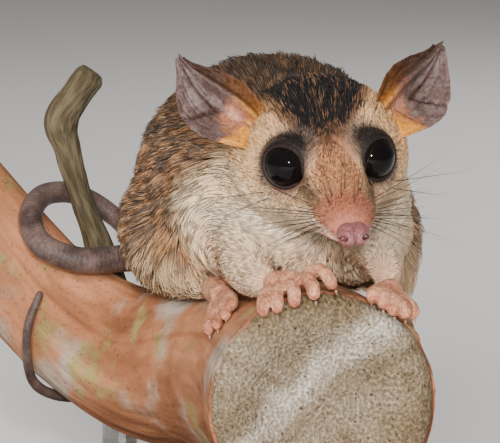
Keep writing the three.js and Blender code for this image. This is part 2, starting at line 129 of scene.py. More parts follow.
def link_piece(name, mesh):
    piece = bpy.data.objects.new(name, mesh)
    bpy.context.collection.objects.link(piece)
    return piece


def plain_mesh(name, points, faces):
    mesh = bpy.data.meshes.new(name)
    mesh.from_pydata([tuple(p) for p in points], [], faces)
    mesh.update()
    return link_piece(name, mesh)


floor_half = 6.0
floor = plain_mesh(
    "floor",
    [(x * floor_half, y * floor_half, 0) for x, y in ((-1, -1), (1, -1), (1, 1), (-1, 1))],
    [(0, 1, 2, 3)],
)

# %% Helpers for materials
def new_material(name):
    material = bpy.data.materials.new(name)
    material.use_nodes = True
    shader = material.node_tree.nodes["Principled BSDF"]
    return material, material.node_tree, shader


floor_material, _, floor_shader = new_material("pale_floor")
floor_shader.inputs["Base Color"].default_value = (0.72, 0.71, 0.69, 1)
floor_shader.inputs["Roughness"].default_value = 0.8
floor.data.materials.append(floor_material)

# %% [markdown]
# ## Reading the solids
#
# The solids of the body are faceted and meet with hair-fine gaps. A copy of them is
# swollen a little, so that the pieces overlap, and then wrapped in small voxels, which
# melts them into one closed surface. A few rounds of relaxing take the facets away.

# %% Helpers for meshes
def points_of(mesh):
    flat = np.empty(len(mesh.vertices) * 3)
    mesh.vertices.foreach_get("co", flat)
    return flat.reshape(-1, 3)


def normals_of(mesh):
    flat = np.empty(len(mesh.vertices) * 3)
    mesh.vertex_normals.foreach_get("vector", flat)
    return flat.reshape(-1, 3)


def set_points(mesh, points):
    mesh.vertices.foreach_set("co", np.ascontiguousarray(points).ravel())
    mesh.update()


def edges_of(mesh):
    flat = np.empty(len(mesh.edges) * 2, dtype=np.int64)
    mesh.edges.foreach_get("vertices", flat)
    return flat.reshape(-1, 2)


def relax(values, edges, rounds, strength=0.5):
    """Moves each value towards the mean of its neighbours' values."""
    a, b = edges[:, 0], edges[:, 1]
    n = len(values)
    count = np.maximum(np.bincount(a, minlength=n) + np.bincount(b, minlength=n), 1)
    out = np.array(values, dtype=float)
    columns = out.reshape(n, -1)
    for _ in range(rounds):
        for c in range(columns.shape[1]):
            col = columns[:, c]
            total = np.bincount(a, weights=col[b], minlength=n)
            total = total + np.bincount(b, weights=col[a], minlength=n)
            columns[:, c] = col + strength * (total / count - col)
    return out


def smooth_step(low, high, x):
    t = np.clip((x - low) / (high - low), 0, 1)
    return t * t * (3 - 2 * t)


def merged_copy(name, nodes):
    """One object with the welded meshes of several nodes of the frame."""
    made = bmesh.new()
    for node in nodes:
        made.from_mesh(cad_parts[node].data)
    bmesh.ops.remove_doubles(made, verts=made.verts, dist=1e-6)
    mesh = bpy.data.meshes.new(name)
    made.to_mesh(mesh)
    made.free()
    return link_piece(name, mesh)


def face_outwards(piece, weld=None):
    """Turns every face of a mesh outwards, after joining points closer than the weld."""
    made = bmesh.new()
    made.from_mesh(piece.data)
    if weld:
        bmesh.ops.remove_doubles(made, verts=made.verts, dist=weld)
    bmesh.ops.recalc_face_normals(made, faces=made.faces)
    made.to_mesh(piece.data)
    made.free()


def bake_modifiers(piece):
    """Turns the evaluated result into the piece's own plain mesh."""
    shown = piece.evaluated_get(bpy.context.evaluated_depsgraph_get())
    mesh = bpy.data.meshes.new_from_object(shown)
    old = piece.data
    piece.modifiers.clear()
    piece.data = mesh
    bpy.data.meshes.remove(old)
    return piece


def melted(name, nodes, swell, voxel, rounds):
    """The nodes' solids as one smooth closed surface."""
    piece = merged_copy(name, nodes)
    mesh = piece.data
    set_points(mesh, points_of(mesh) + normals_of(mesh) * swell)
    wrap = piece.modifiers.new("wrap", "REMESH")
    wrap.mode = "VOXEL"
    wrap.voxel_size = voxel
    bake_modifiers(piece)
    mesh = piece.data
    set_points(mesh, relax(points_of(mesh), edges_of(mesh), rounds))
    mesh.polygons.foreach_set("use_smooth", [True] * len(mesh.polygons))
    print(name, "has", len(mesh.polygons), "faces")
    return piece


# %% [markdown]
# ## The head's own frame
#
# The head is turned, nodded and tilted against the body. Markings are much easier to place
# in the head's own directions: aside towards the animal's left, ahead to the nose, and
# rise to the crown. All three are in millimetres from the middle of the eyes.

# %% Head frame
nod, tilt, turn = math.radians(14), math.radians(-3.8), math.radians(8)
head_turn = Matrix.Rotation(turn, 3, "Z") @ Matrix.Rotation(nod, 3, "X") @ Matrix.Rotation(tilt, 3, "Y")
head_rows = np.array(head_turn)
nose_tip = np.array((0, 24.0, -3.0))
eye_aside = 6.9
eye_rise = 0.5
gaze_out, gaze_up = math.radians(36), math.radians(8)


def to_head(points):
    local = (np.asarray(points) - np.array(eye_middle)) @ head_rows / mm
    return local * np.array((1, -1, 1))


def from_head(aside, ahead, rise):
    return eye_middle + head_turn @ Vector((aside, -ahead, rise)) * mm


def head_direction(aside, ahead, rise):
    return (head_turn @ Vector((aside, -ahead, rise))).normalized()


def gaze(side):
    flat = math.cos(gaze_up)
    return head_direction(side * math.sin(gaze_out) * flat, math.cos(gaze_out) * flat, math.sin(gaze_up))


def middle_of(node):
    low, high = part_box(node)
    return (Vector(low) + Vector(high)) / 2


print("nose tip at", tuple(round(c, 4) for c in from_head(*nose_tip)))

# %% [markdown]
# ## Lie, length and colour of the coat
#
# A coat has a lie: it runs back from the nose, over the neck and along the body, and down
# each leg to the paw. Its length grows from about a millimetre on the face to eight on the
# back. Its colours follow the body too. All of this is worked out from a point's place, so
# the bare skin and each tuft that stands on it always agree.

# %% Coat rules
leg_paws = {
    "foreleg_right": "hand_right",
    "foreleg_left": "hand_left",
    "hindleg_right": "foot_right",
    "hindleg_left": "foot_left",
}
paw_places = {leg: np.array(middle_of(paw)) / mm for leg, paw in leg_paws.items()}
rump = np.array((11, 46, 62.0))
neck_plane = (-23.0, -11.0)


def unit(v):
    return v / np.maximum(np.linalg.norm(v, axis=-1, keepdims=True), 1e-9)


def on_head(head):
    return smooth_step(neck_plane[0], neck_plane[1], head[:, 1])


def eye_reach(head):
    """Distance from the nearer eye's middle, and the direction away from it, in head terms."""
    side = np.where(head[:, 0] < 0, -1.0, 1.0)
    centre = np.stack([side * eye_aside, np.zeros_like(side), np.full_like(side, eye_rise)], 1)
    away = head - centre
    return np.linalg.norm(away, axis=1), away, side


def near_paw(world):
    """1 at the wrist or ankle, falling to 0 up the leg, and the direction towards the paw."""
    best = np.full(len(world), 1e9)
    towards = np.zeros_like(world)
    for place in paw_places.values():
        gap = place - world
        distance = np.linalg.norm(gap, axis=1)
        closer = distance < best
        best[closer] = distance[closer]
        towards[closer] = gap[closer]
    return 1 - smooth_step(7, 22, best), towards


def under_body(world):
    """1 on the chest and the front of the belly, where the hair hangs down to the branch."""
    return smooth_step(72, 66, world[:, 2]) * smooth_step(12, 2, world[:, 1])


def coat_lie(points, normals):
    """The direction in which the hair lies, along the skin."""
    head = to_head(points)
    world = points / mm
    over_head = on_head(head)[:, None]
    back_from_nose = unit(head - nose_tip)
    reach, away, _ = eye_reach(head)
    eye_push = (1 - smooth_step(4.5, 9, reach))[:, None]
    head_flow = unit(back_from_nose + 1.6 * eye_push * unit(away)) * np.array((1, -1, 1))
    head_flow = head_flow @ head_rows.T
    sideways = np.clip(np.abs(normals[:, 0]), 0, 1)[:, None]
    body_flow = unit(np.array((-0.22, 1.0, -0.15)) + np.array((0, 0, -0.75)) * sideways)
    under = under_body(world)[:, None]
    body_flow = unit(body_flow * (1 - under) + np.array((0.1, -0.15, -1.0)) * under)
    at_rump = smooth_step(30, 48, world[:, 1])[:, None]
    body_flow = unit(body_flow * (1 - at_rump) + unit(rump - world) * at_rump)
    paw, towards = near_paw(world)
    paw = (paw * (1 - on_head(head)))[:, None]
    flow = head_flow * over_head + body_flow * (1 - over_head)
    flow = unit(flow * (1 - paw) + unit(towards) * paw)
    return unit(flow - normals * np.sum(flow * normals, axis=1, keepdims=True))


def coat_length(points):
    """Hair length in millimetres."""
    head = to_head(points)
    on_face = 1.2 + 1.3 * smooth_step(14, 4, head[:, 1]) + 2.3 * smooth_step(4, -14, head[:, 1])
    reach, _, _ = eye_reach(head)
    on_face = np.minimum(on_face, 0.9 + 0.55 * np.maximum(reach - 4.4, 0))
    paw, _ = near_paw(points / mm)
    on_body = 7.6 + 2.2 * under_body(points / mm) - 5.6 * paw
    over_head = on_head(head)
    return on_face * over_head + on_body * (1 - over_head)


def coat_depth(points):
    """How far the skin lies inside the outline of the coat, in millimetres."""
    head = to_head(points)
    reach, _, _ = eye_reach(head)
    face = 0.17 * coat_length(points) + 0.12
    face = face * smooth_step(4.6, 7, reach) + 0.35 * smooth_step(20.8, 21.8, head[:, 1])
    over_head = on_head(head)
    body = 0.36 * coat_length(points)
    return face * over_head + body * (1 - over_head)


# %% [markdown]
# ## One skin for the body
#
# Under the coat lies one skin, without seams between head, neck, body and legs. It is the
# melted solid, drawn in by the depth of the coat at each place.

# %% Skin
flesh = ["head", "neck", "torso", *leg_paws]
skin = melted("body_skin", [*flesh, "nose"], 0.22 * mm, 0.45 * mm, 10)
skin_points = points_of(skin.data)
skin_edges = edges_of(skin.data)
depth = relax(coat_depth(skin_points), skin_edges, 12)
lies_in = relax(normals_of(skin.data), skin_edges, 6)
set_points(skin.data, relax(skin_points - unit(lies_in) * (depth[:, None] + 0.15) * mm, skin_edges, 6))
skin_points = points_of(skin.data)
print("skin is drawn in by up to", round(float(depth.max()), 2), "mm")

# %% [markdown]
# ## Routes and tables
#
# The branch, its side stub and the tail each follow a smooth curve through a few places.
# One small class reads such a curve at even shares of its length. The radii along it come
# from short tables that are read with smooth slopes.

# %% Curves and tables
class Route:
    """A centripetal Catmull-Rom curve through places in millimetres."""

    def __init__(self, places, divisions=200):
        self.places = np.array(places, dtype=float)
        steps = np.linspace(0, 1, divisions + 1)
        lengths = np.linalg.norm(np.diff(self.raw(steps), axis=0), axis=1)
        self.steps = steps
        self.run = np.concatenate([[0], np.cumsum(lengths)])
        self.length = self.run[-1]

    def raw(self, t):
        p = self.places
        last = len(p) - 1
        spot = np.clip(np.asarray(t, dtype=float), 0, 1) * last
        k = np.minimum(spot.astype(int), last - 1)
        w = (spot - k)[:, None]
        padded = np.concatenate([[2 * p[0] - p[1]], p, [2 * p[-1] - p[-2]]])
        x0, x1, x2, x3 = (padded[k + i] for i in range(4))
        d0, d1, d2 = (
            np.sqrt(np.linalg.norm(b - a, axis=1))[:, None] for a, b in ((x0, x1), (x1, x2), (x2, x3))
        )
        t1 = ((x1 - x0) / d0 - (x2 - x0) / (d0 + d1) + (x2 - x1) / d1) * d1
        t2 = ((x2 - x1) / d1 - (x3 - x1) / (d1 + d2) + (x3 - x2) / d2) * d1
        bend = -3 * x1 + 3 * x2 - 2 * t1 - t2
        return x1 + t1 * w + bend * w**2 + (2 * x1 - 2 * x2 + t1 + t2) * w**3

    def at(self, shares):
        return self.raw(np.interp(np.asarray(shares) * self.length, self.run, self.steps))

    def along(self, shares):
        t = np.interp(np.asarray(shares) * self.length, self.run, self.steps)
        return unit(self.raw(np.minimum(t + 1e-4, 1)) - self.raw(np.maximum(t - 1e-4, 0)))


def read_table(rows, place):
    """Smooth values between the rows of a table of (place, value)."""
    at, value = np.array(rows, dtype=float).T
    slope = np.gradient(value, at)
    slope[1:-1] = (value[2:] - value[:-2]) / (at[2:] - at[:-2])
    s = np.clip(place, at[0], at[-1])
    k = np.clip(np.searchsorted(at, s) - 1, 0, len(at) - 2)
    span = at[k + 1] - at[k]
    t = (s - at[k]) / span
    t2, t3 = t * t, t * t * t
    return (
        (2 * t3 - 3 * t2 + 1) * value[k]
        + (t3 - 2 * t2 + t) * span * slope[k]
        + (3 * t2 - 2 * t3) * value[k + 1]
        + (t3 - t2) * span * slope[k + 1]
    )


def carried_frames(route, shares):
    """Middle, direction and two cross directions that turn with the route and never flip."""
    middle, along = route.at(shares), route.along(shares)
    side = np.empty_like(along)
    first = np.cross(along[0], (0, 0, 1.0))
    side[0] = first / np.linalg.norm(first)
    for i in range(1, len(along)):
        turned = side[i - 1] - along[i] * np.dot(side[i - 1], along[i])
        side[i] = turned / np.linalg.norm(turned)
    return middle, along, side, np.cross(along, side)


def soft_noise(points, size, seed=0):
    """Smooth random values from -1 to 1 that change over a given size."""
    spot = np.asarray(points, dtype=float) / size + seed * 17.31
    cell = np.floor(spot).astype(np.int64)
    part = spot - cell
    part = part * part * (3 - 2 * part)
    total = np.zeros(len(spot))
    for corner in range(8):
        bits = np.array([(corner >> axis) & 1 for axis in range(3)])
        mixed = (cell + bits) @ np.array([73856093, 19349663, 83492791])
        mixed = (mixed ^ (mixed >> 13)) * 1274126177 & 0x7FFFFFFF
        mixed = (mixed ^ (mixed >> 11)) * 668265263 & 0x7FFFFFFF
        weight = np.prod(np.where(bits == 1, part, 1 - part), axis=1)
        total += weight * (mixed / 0x40000000 - 1)
    return total


def grid_mesh(name, rings, cap_ends=True):
    """A closed tube from rings of points, each ring a row of the array."""
    rows, around, _ = rings.shape
    points = rings.reshape(-1, 3)
    r, c = np.meshgrid(np.arange(rows - 1), np.arange(around), indexing="ij")
    a = (r * around + c).ravel()
    b = (r * around + (c + 1) % around).ravel()
    quads = np.stack([a, b, b + around, a + around], 1)
    faces = quads.tolist()
    if cap_ends:
        faces.append(list(range(around))[::-1])
        faces.append([(rows - 1) * around + i for i in range(around)])
    piece = plain_mesh(name, points, faces)
    piece.data.polygons.foreach_set("use_smooth", [True] * len(faces))
    return piece


def store(piece, name, values):
    """Keeps a number, a direction or a colour for each point of the mesh."""
    values = np.asarray(values, dtype=float)
    kinds = {1: ("FLOAT", "value"), 3: ("FLOAT_VECTOR", "vector"), 4: ("FLOAT_COLOR", "color")}
    kind, field = kinds[1 if values.ndim == 1 else values.shape[1]]
    layer = piece.data.attributes.new(name, kind, "POINT")
    layer.data.foreach_set(field, np.ascontiguousarray(values).ravel())


def store_colour(piece, colour):
    """Keeps the colour of each point under the name that the materials read."""
    # The stored colour holds the markings and, in places, painted shade.
    store(piece, "marking_and_shade", np.concatenate([colour, np.ones((len(colour), 1))], 1))


# %% [markdown]
# ## The branch
#
# The branch is a cut limb whose weathered end faces the viewer. The bark has grown over the
# saw cut in a soft rim. The solid gives its route and its thickness, so the same rule is
# read again here with many more points, and the bark's relief is added to it. Each point
# also keeps its place on the branch as if it were straight, so that the bark's streaks can
# run along the bends.

# %% Branch
branch_route = Route(
    [
        (25.9, -36.5, 43.5),
        (21, -9.5, 41.6),
        (9.5, 15.5, 37.8),
        (-7, 29.5, 35.8),
        (-24, 37.5, 44.6),
        (-46, 44, 69),
    ]
)
branch_radii = [(0, 19.5), (0.25, 18.2), (0.45, 16.4), (0.62, 13.8), (0.72, 12.1), (0.82, 10.9), (1, 10.2)]
callus = [(0, -1.9), (0.3, -1.7), (0.52, -0.9), (0.66, 0.5), (0.82, 1.0), (0.94, 0.2), (1, -1.6)]
branch_around = 220
branch_rows = 210
end_rows = 44


def bark_swell(share, angle):
    return (0.4 + share) * (0.35 * np.sin(3 * angle + 5 * share) + 0.3 * np.sin(5 * angle - 9 * share + 1))


def branch_frame(shares):
    middle, along = branch_route.at(shares), branch_route.along(shares)
    side = unit(np.cross((0, 0, 1.0), along))
    return middle, along, side, np.cross(along, side)


def build_branch():
    angle = np.linspace(0, 2 * np.pi, branch_around, endpoint=False)[None, :]
    face = np.linspace(0.02, 1, end_rows) ** 0.8
    wide = np.concatenate([face, np.ones(branch_rows), np.linspace(0.985, 0.02, end_rows)])
    share = np.concatenate([np.zeros(end_rows), np.linspace(0, 1, branch_rows + 1)[1:], np.ones(end_rows)])
    proud = np.zeros_like(wide)
    proud[:end_rows] = read_table(callus, face)
    proud[-end_rows:] = -0.35 * smooth_step(0.9, 1, wide[-end_rows:])
    middle, along, side, up = (v[:, None, :] for v in branch_frame(share))
    share, wide, proud = share[:, None], wide[:, None], proud[:, None]
    radius = wide * (read_table(branch_radii, share) + bark_swell(share, angle))
    run = share * branch_route.length
    place = np.stack(
        [np.broadcast_to(run, radius.shape), radius * np.cos(angle), radius * np.sin(angle)], -1
    )
    flat = place.reshape(-1, 3)
    stretched = flat * np.array((0.3, 1, 1))
    knobs = soft_noise(stretched, 5.5, 1) * 0.26 + soft_noise(stretched, 1.7, 2) * 0.12
    flakes = np.maximum(soft_noise(stretched, 2.6, 3), 0.25) * 0.3
    worn = soft_noise(flat * np.array((1, 1, 1)), 1.3, 4) * 0.16 + soft_noise(flat, 0.55, 5) * 0.09
    knobs, flakes, worn = (v.reshape(radius.shape) for v in (knobs, flakes, worn))
    on_side = np.clip((wide - 0.94) / 0.06, 0, 1) * np.ones_like(radius)
    turning = np.arctan2(np.sin(angle), np.cos(angle))
    splits = sum(
        np.exp(-((np.angle(np.exp(1j * (turning - at))) * wide / 0.035) ** 2))
        * smooth_step(reach, reach + 0.2, wide)
        for at, reach in ((0.5, 0.25), (1.7, 0.4), (2.6, 0.3), (-0.9, 0.35), (-2.2, 0.2))
    )
    radius = radius + on_side * (knobs + flakes - 0.2)
    at_front = (share == 0) * 1.0
    outward_move = proud + (1 - on_side) * (worn - 0.45 * splits)
    sign = np.where(at_front > 0, -1.0, 1.0) * ((share == 0) | (share == 1))
    points = (
        middle
        + along * (sign * outward_move)[..., None]
        + side * (radius * np.cos(angle))[..., None]
        + up * (radius * np.sin(angle))[..., None]
    )
    piece = grid_mesh("branch_bark", points * mm)
    store(piece, "straight_place", place.reshape(-1, 3) * mm)
    face_mark = np.where((share == 0) | (share == 1), np.clip(1 - (wide - 0.93) / 0.06, 0, 1), 0)
    store(piece, "cut_face", np.broadcast_to(face_mark, radius.shape).ravel())
    store(piece, "hollows", (knobs + worn * (1 - on_side) - 0.3 * splits).ravel())
    from_band = 0.643 * flat[:, 1] + 0.767 * flat[:, 2] - 4.5 + 1.2 * soft_noise(flat, 4.0, 6)
    store(piece, "pale_band", np.exp(-((from_band / 2.6) ** 2)))
    return piece


branch = build_branch()
print("branch points:", len(branch.data.vertices))

# %% [markdown]
# ## The side stub
#
# A thin dead twig stands up from the branch. It has a swollen knot near its top and bends
# over there. It is swept along its route in the same way, with lumps of its own.

# %% Stub
stub_route = Route(
    [
        (-13.6, 37, 45),
        (-15.8, 38, 56.4),
        (-19.7, 38.4, 67.9),
        (-21.8, 38.6, 76),
        (-23, 38.6, 81.6),
        (-20.4, 38.6, 86),
        (-16.8, 38.6, 91),
    ]
)
stub_radii = [(0, 4.4), (0.3, 2.4), (0.52, 2.3), (0.68, 2.7), (0.76, 3.5), (0.88, 3.1), (1, 3.2)]
stub_around = 60
stub_rows = 170


def build_stub():
    share = np.concatenate([np.linspace(0, 1, stub_rows), np.full(12, 1.0)])
    shrink = np.concatenate([np.ones(stub_rows), np.linspace(0.97, 0.04, 12)])
    middle, along, side, up = (v[:, None, :] for v in carried_frames(stub_route, share))
    angle = np.linspace(0, 2 * np.pi, stub_around, endpoint=False)[None, :]
    share, shrink = share[:, None], shrink[:, None]
    rounding = np.sqrt(np.clip(1 - np.clip((share - 0.965) / 0.05, 0, 1) ** 2, 0, 1))
    radius = read_table(stub_radii, share) * shrink * rounding * np.ones_like(angle)
    place = np.stack(
        [share * stub_route.length + 0 * radius, radius * np.cos(angle), radius * np.sin(angle)], -1
    )
    flat = place.reshape(-1, 3) * np.array((0.25, 1, 1))
    lumps = (soft_noise(flat, 2.2, 11) * 0.3 + soft_noise(flat, 0.8, 12) * 0.16).reshape(radius.shape)
    radius = radius + lumps * np.clip(shrink * 1.4 - 0.4, 0, 1) * np.maximum(rounding, 0.3)
    tip_roughness = (1 - shrink) * (0.5 * soft_noise(place.reshape(-1, 3), 1.2, 13).reshape(radius.shape))
    points = (
        middle
        + along * tip_roughness[..., None]
        + side * (radius * np.cos(angle))[..., None]
        + up * (radius * np.sin(angle))[..., None]
    )
    piece = grid_mesh("branch_stub", points * mm)
    store(piece, "straight_place", place.reshape(-1, 3) * mm)
    store(piece, "hollows", lumps.ravel())
    return piece


stub = build_stub()
print("stub points:", len(stub.data.vertices))

# %% [markdown]
# ## The tail
#
# The tail is bare and finely scaled. It leaves the rump, loops round the stub, goes once
# round the branch and ends in a thin tip. Its route is the solid's route. Rings of small
# scales run round it, closer together towards the tip.

# %% Tail
tail_root_radius, tail_tip_radius = 3.1, 0.75
tail_run = [
    (13, 41, 60),
    (4, 40, 57.5),
    (-4, 34, 56.4),
    (-12, 28.6, 56.2),
    (-19.6, 25.2, 56.8),
    (-26.2, 26, 59.6),
    (-28.6, 30.6, 63.8),
    (-26.6, 37.4, 67),
    (-20.8, 43, 66.4),
    (-13.4, 45, 61.6),
]
coil_shares = (0.58, 0.765)
coil_degrees = (150, 386)
coil_steps = 9
coil_lift = 0.45
tail_rows = 900
tail_around = 40


def tail_radius(share):
    return tail_root_radius + (tail_tip_radius - tail_root_radius) * share**0.9


def coil_places():
    t = np.arange(coil_steps + 1) / coil_steps
    share = coil_shares[0] + (coil_shares[1] - coil_shares[0]) * t
    angle = np.radians(coil_degrees[0] + (coil_degrees[1] - coil_degrees[0]) * t)
    thick = tail_radius(0.6) + (tail_tip_radius - tail_radius(0.6)) * t
    r = (read_table(branch_radii, share) + bark_swell(share, angle) + thick + coil_lift)[:, None]
    middle, _, side, up = branch_frame(share)
    return middle + side * r * np.cos(angle)[:, None] + up * r * np.sin(angle)[:, None]


def build_tail():
    route = Route(tail_run + [tuple(p) for p in coil_places()], 800)
    share = np.linspace(0, 1, tail_rows)
    middle, along, side, up = (v[:, None, :] for v in carried_frames(route, share))
    angle = np.linspace(0, 2 * np.pi, tail_around, endpoint=False)[None, :]
    share = share[:, None]
    run = share * route.length
    ring_gap = 0.95 - 0.45 * share
    ring_phase = np.cumsum(np.full_like(run, route.length / tail_rows) / ring_gap, axis=0)
    rings = np.abs(np.sin(np.pi * (ring_phase + 0.12 * np.sin(4 * angle + ring_phase * 2.1))))
    tip = np.sqrt(np.clip(1 - np.clip((run - route.length + 1.2) / 1.2, 0, 1) ** 2, 0.002, 1))
    radius = (tail_radius(share) - 0.02 + 0.055 * (rings**0.5 - 0.8)) * tip
    place = np.stack([run + 0 * radius, radius * np.cos(angle), radius * np.sin(angle)], -1)
    wrinkles = soft_noise(place.reshape(-1, 3), 2.4, 21).reshape(radius.shape) * 0.06
    radius = radius + wrinkles * tip
    points = middle + side * (radius * np.cos(angle))[..., None] + up * (radius * np.sin(angle))[..., None]
    piece = grid_mesh("tail_skin", points * mm)
    store(piece, "straight_place", place.reshape(-1, 3) * mm)
    store(piece, "scale_rings", rings.ravel())
    store(piece, "share_along", np.broadcast_to(share, radius.shape).ravel())
    return piece, route


tail, tail_route = build_tail()
print("tail length:", round(tail_route.length, 1), "mm")

# %% [markdown]
# ## Markings
#
# The face is cream, white below, with a streaky dark crown that narrows between the eyes,
# a dark ring round each eye and a dark stripe down to each side of the muzzle. The body is
# brown, with dark grey hair bases and rufous or tan tips, and cream below, and its tips are
# painted darker towards the top of the back as shade. One rule gives the colour of a hair's
# base and tip anywhere on the body. The skin asks the same rule.

# %% Colours of the coat
cream = np.array((0.78, 0.50, 0.27))
low_cheek = np.array((0.86, 0.66, 0.44))
white = np.array((0.86, 0.73, 0.56))
crown_dark = np.array((0.010, 0.008, 0.008))
crown_rufous = np.array((0.13, 0.06, 0.031))
bridge_buff = np.array((0.48, 0.215, 0.105))
ring_dark = np.array((0.008, 0.005, 0.004))
ring_soft = np.array((0.17, 0.12, 0.095))
stripe_brown = np.array((0.06, 0.024, 0.014))
muzzle_pink = np.array((0.36, 0.115, 0.065))
rufous_tip = np.array((0.31, 0.155, 0.075))
tan_tip = np.array((0.38, 0.22, 0.115))
grey_tip = np.array((0.13, 0.092, 0.07))
grey_base = np.array((0.032, 0.023, 0.019))
belly_tip = np.array((0.50, 0.37, 0.225))
belly_base = np.array((0.26, 0.18, 0.11))
wrist_pink = np.array((0.60, 0.31, 0.18))
chest_cream = np.array((0.95, 0.78, 0.55))
brow_grey = np.array((0.40, 0.29, 0.22))
ear_root_tan = np.array((0.55, 0.33, 0.15))


def blend_to(colour, target, mask):
    mask = np.clip(mask, 0, 1)[:, None]
    return colour * (1 - mask) + target * mask


def distance_to_line(head, start, end):
    start, end = np.array(start, dtype=float), np.array(end, dtype=float)
    run = end - start
    t = np.clip((head - start) @ run / (run @ run), 0, 1)
    return np.linalg.norm(head - start - t[:, None] * run, axis=1)


def face_colours(head, chance):
    aside, ahead, rise = head.T
    colour = np.tile(cream, (len(head), 1))
    colour = blend_to(colour, low_cheek, smooth_step(-2, -7, rise))
    colour = blend_to(colour, white, smooth_step(-6.5, -10, rise + 0.25 * np.abs(aside)))
    on_top = smooth_step(-1.0, 2.0, rise - 0.12 * (ahead + 6))
    on_bridge = smooth_step(-2.5, 1.0, rise + 0.12 * ahead)
    buff = on_bridge * (1 - smooth_step(2.6, 4.8, np.abs(aside))) * smooth_step(-3, 1, ahead)
    colour = blend_to(colour, bridge_buff, buff * 0.95)
    grey_side = on_top * np.exp(-(((np.abs(aside) - 4.8) / 1.6) ** 2))
    grey_side = grey_side * smooth_step(-11, -6, ahead) * smooth_step(4, 1, ahead)
    colour = blend_to(colour, brow_grey, 0.55 * grey_side)
    half = np.clip(3.6 - 0.5 * ahead, 2.0, 9.0)
    crown = on_top * (1 - smooth_step(half - 2.6, half + 1.8, np.abs(aside + 0.5)))
    crown = crown * smooth_step(8.0, -3.0, ahead)
    colour = blend_to(colour, crown_rufous, 0.9 * smooth_step(0.05, 0.45, crown))
    colour = blend_to(colour, crown_dark, smooth_step(0.1, -0.1, chance - 0.9 * crown))
    ears = np.minimum(
        np.linalg.norm(head - np.array((-13.2, -8.6, 4.6)), axis=1),
        np.linalg.norm(head - np.array((13.4, -9.4, 4.2)), axis=1),
    )
    colour = blend_to(colour, ear_root_tan, 0.6 * (1 - smooth_step(3, 8, ears)))
    reach, away, side = eye_reach(head)
    away = unit(away)
    inner_top = np.clip(-0.35 * side * away[:, 0] + 0.9 * away[:, 2], 0, 1)
    edge = 4.65 + 0.4 * inner_top**2 + 0.5 * (chance - 0.5)
    colour = blend_to(colour, ring_soft, 0.8 * (1 - smooth_step(edge + 0.2, edge + 1.7, reach)))
    colour = blend_to(colour, ring_dark, 1 - smooth_step(edge - 0.3, edge + 0.6, reach))
    mirrored = head * np.stack([side, np.ones_like(side), np.ones_like(side)], 1)
    stripe = distance_to_line(mirrored, (5.0, 3.0, -0.8), (4.4, 14.5, -1.4))
    colour = blend_to(colour, stripe_brown, (0.55 + 0.4 * chance) * (1 - smooth_step(0.6, 2.0, stripe)))
    lip = smooth_step(-2.6, -3.6, rise + 0.1 * (ahead - 14)) * smooth_step(9, 13, ahead)
    bare = smooth_step(12.5, 16.5, ahead + 0.15 * rise)
    return blend_to(blend_to(colour, muzzle_pink, 0.85 * bare), white, 0.8 * lip)


def body_colours(world, normals, chance):
    x, y, z = world.T
    tips = np.where((chance < 0.45)[:, None], rufous_tip, tan_tip)
    tips = np.where((chance > 0.84)[:, None], grey_tip, tips)
    base = np.tile(grey_base, (len(world), 1))
    # Tips darken towards the top of the back: painted shade.
    painted_top_shade = smooth_step(80, 93, z)[:, None]
    tips = tips * (1 - 0.72 * painted_top_shade)
    wander = 2.0 * soft_noise(world, 5.0, 31)
    below = smooth_step(66, 60, z + wander - 0.08 * np.maximum(y, 0))
    below = np.maximum(below, smooth_step(-0.35, -0.75, normals[:, 2]))
    chest = smooth_step(2, -9, y + 0.15 * (z - 68) + wander) * smooth_step(82, 76, z)
    near_side = smooth_step(31, 38, x) * smooth_step(12, 0, y)
    pale = np.maximum(np.maximum(below, chest), 0.8 * near_side)
    tips = blend_to(tips, belly_tip, pale)
    base = blend_to(base, belly_base, pale)
    tips = blend_to(tips, chest_cream, 0.85 * chest)
    base = blend_to(base, chest_cream * 0.85, 0.9 * chest)
    paw, _ = near_paw(world)
    tips = blend_to(tips, wrist_pink, 0.6 * paw)
    return base, tips


def coat_colours(points, normals, chance):
    """The colours of a hair's base and tip at points in metres."""
    head = to_head(points)
    face = face_colours(head, chance)
    base, tips = body_colours(points / mm, normals, chance)
    over = smooth_step(-24, -16, head[:, 1] + 1.6 * soft_noise(points / mm, 4.0, 32))[:, None]
    face_base = face * 0.72
    over = over * smooth_step(-18, -13, head[:, 2] + 2 * soft_noise(points / mm, 3.0, 33))[:, None]
    return base * (1 - over) + face_base * over, tips * (1 - over) + face * over


# %% [markdown]
# ## Where the tufts stand
#
# Tufts could be hung on the skin by a particle system, but the export keeps only real
# mesh. So the roots are drawn at random over the skin's triangles, thicker where the coat
# is short. The skin is unwrapped first, so that each tuft can carry the place of its root
# on the flat pattern of the skin.

# %% Unwrap of the skin
def unwrap(piece):
    bpy.context.view_layer.objects.active = piece
    piece.select_set(True)
    bpy.ops.object.mode_set(mode="EDIT")
    bpy.ops.mesh.select_all(action="SELECT")
    bpy.ops.uv.smart_project(angle_limit=math.radians(66), island_margin=0.004)
    bpy.ops.object.mode_set(mode="OBJECT")
    piece.select_set(False)
    layer = piece.data.uv_layers.active
    flat = np.empty(len(piece.data.loops) * 2)
    layer.data.foreach_get("uv", flat)
    piece.data.uv_layers.remove(layer)
    return flat.reshape(-1, 2)


skin_uv = unwrap(skin)
skin.data.calc_loop_triangles()
triangle_count = len(skin.data.loop_triangles)
corner_points = np.empty(triangle_count * 3, dtype=np.int64)
skin.data.loop_triangles.foreach_get("vertices", corner_points)
corner_points = corner_points.reshape(-1, 3)
corner_loops = np.empty(triangle_count * 3, dtype=np.int64)
skin.data.loop_triangles.foreach_get("loops", corner_loops)
corner_loops = corner_loops.reshape(-1, 3)
print("skin triangles:", triangle_count)

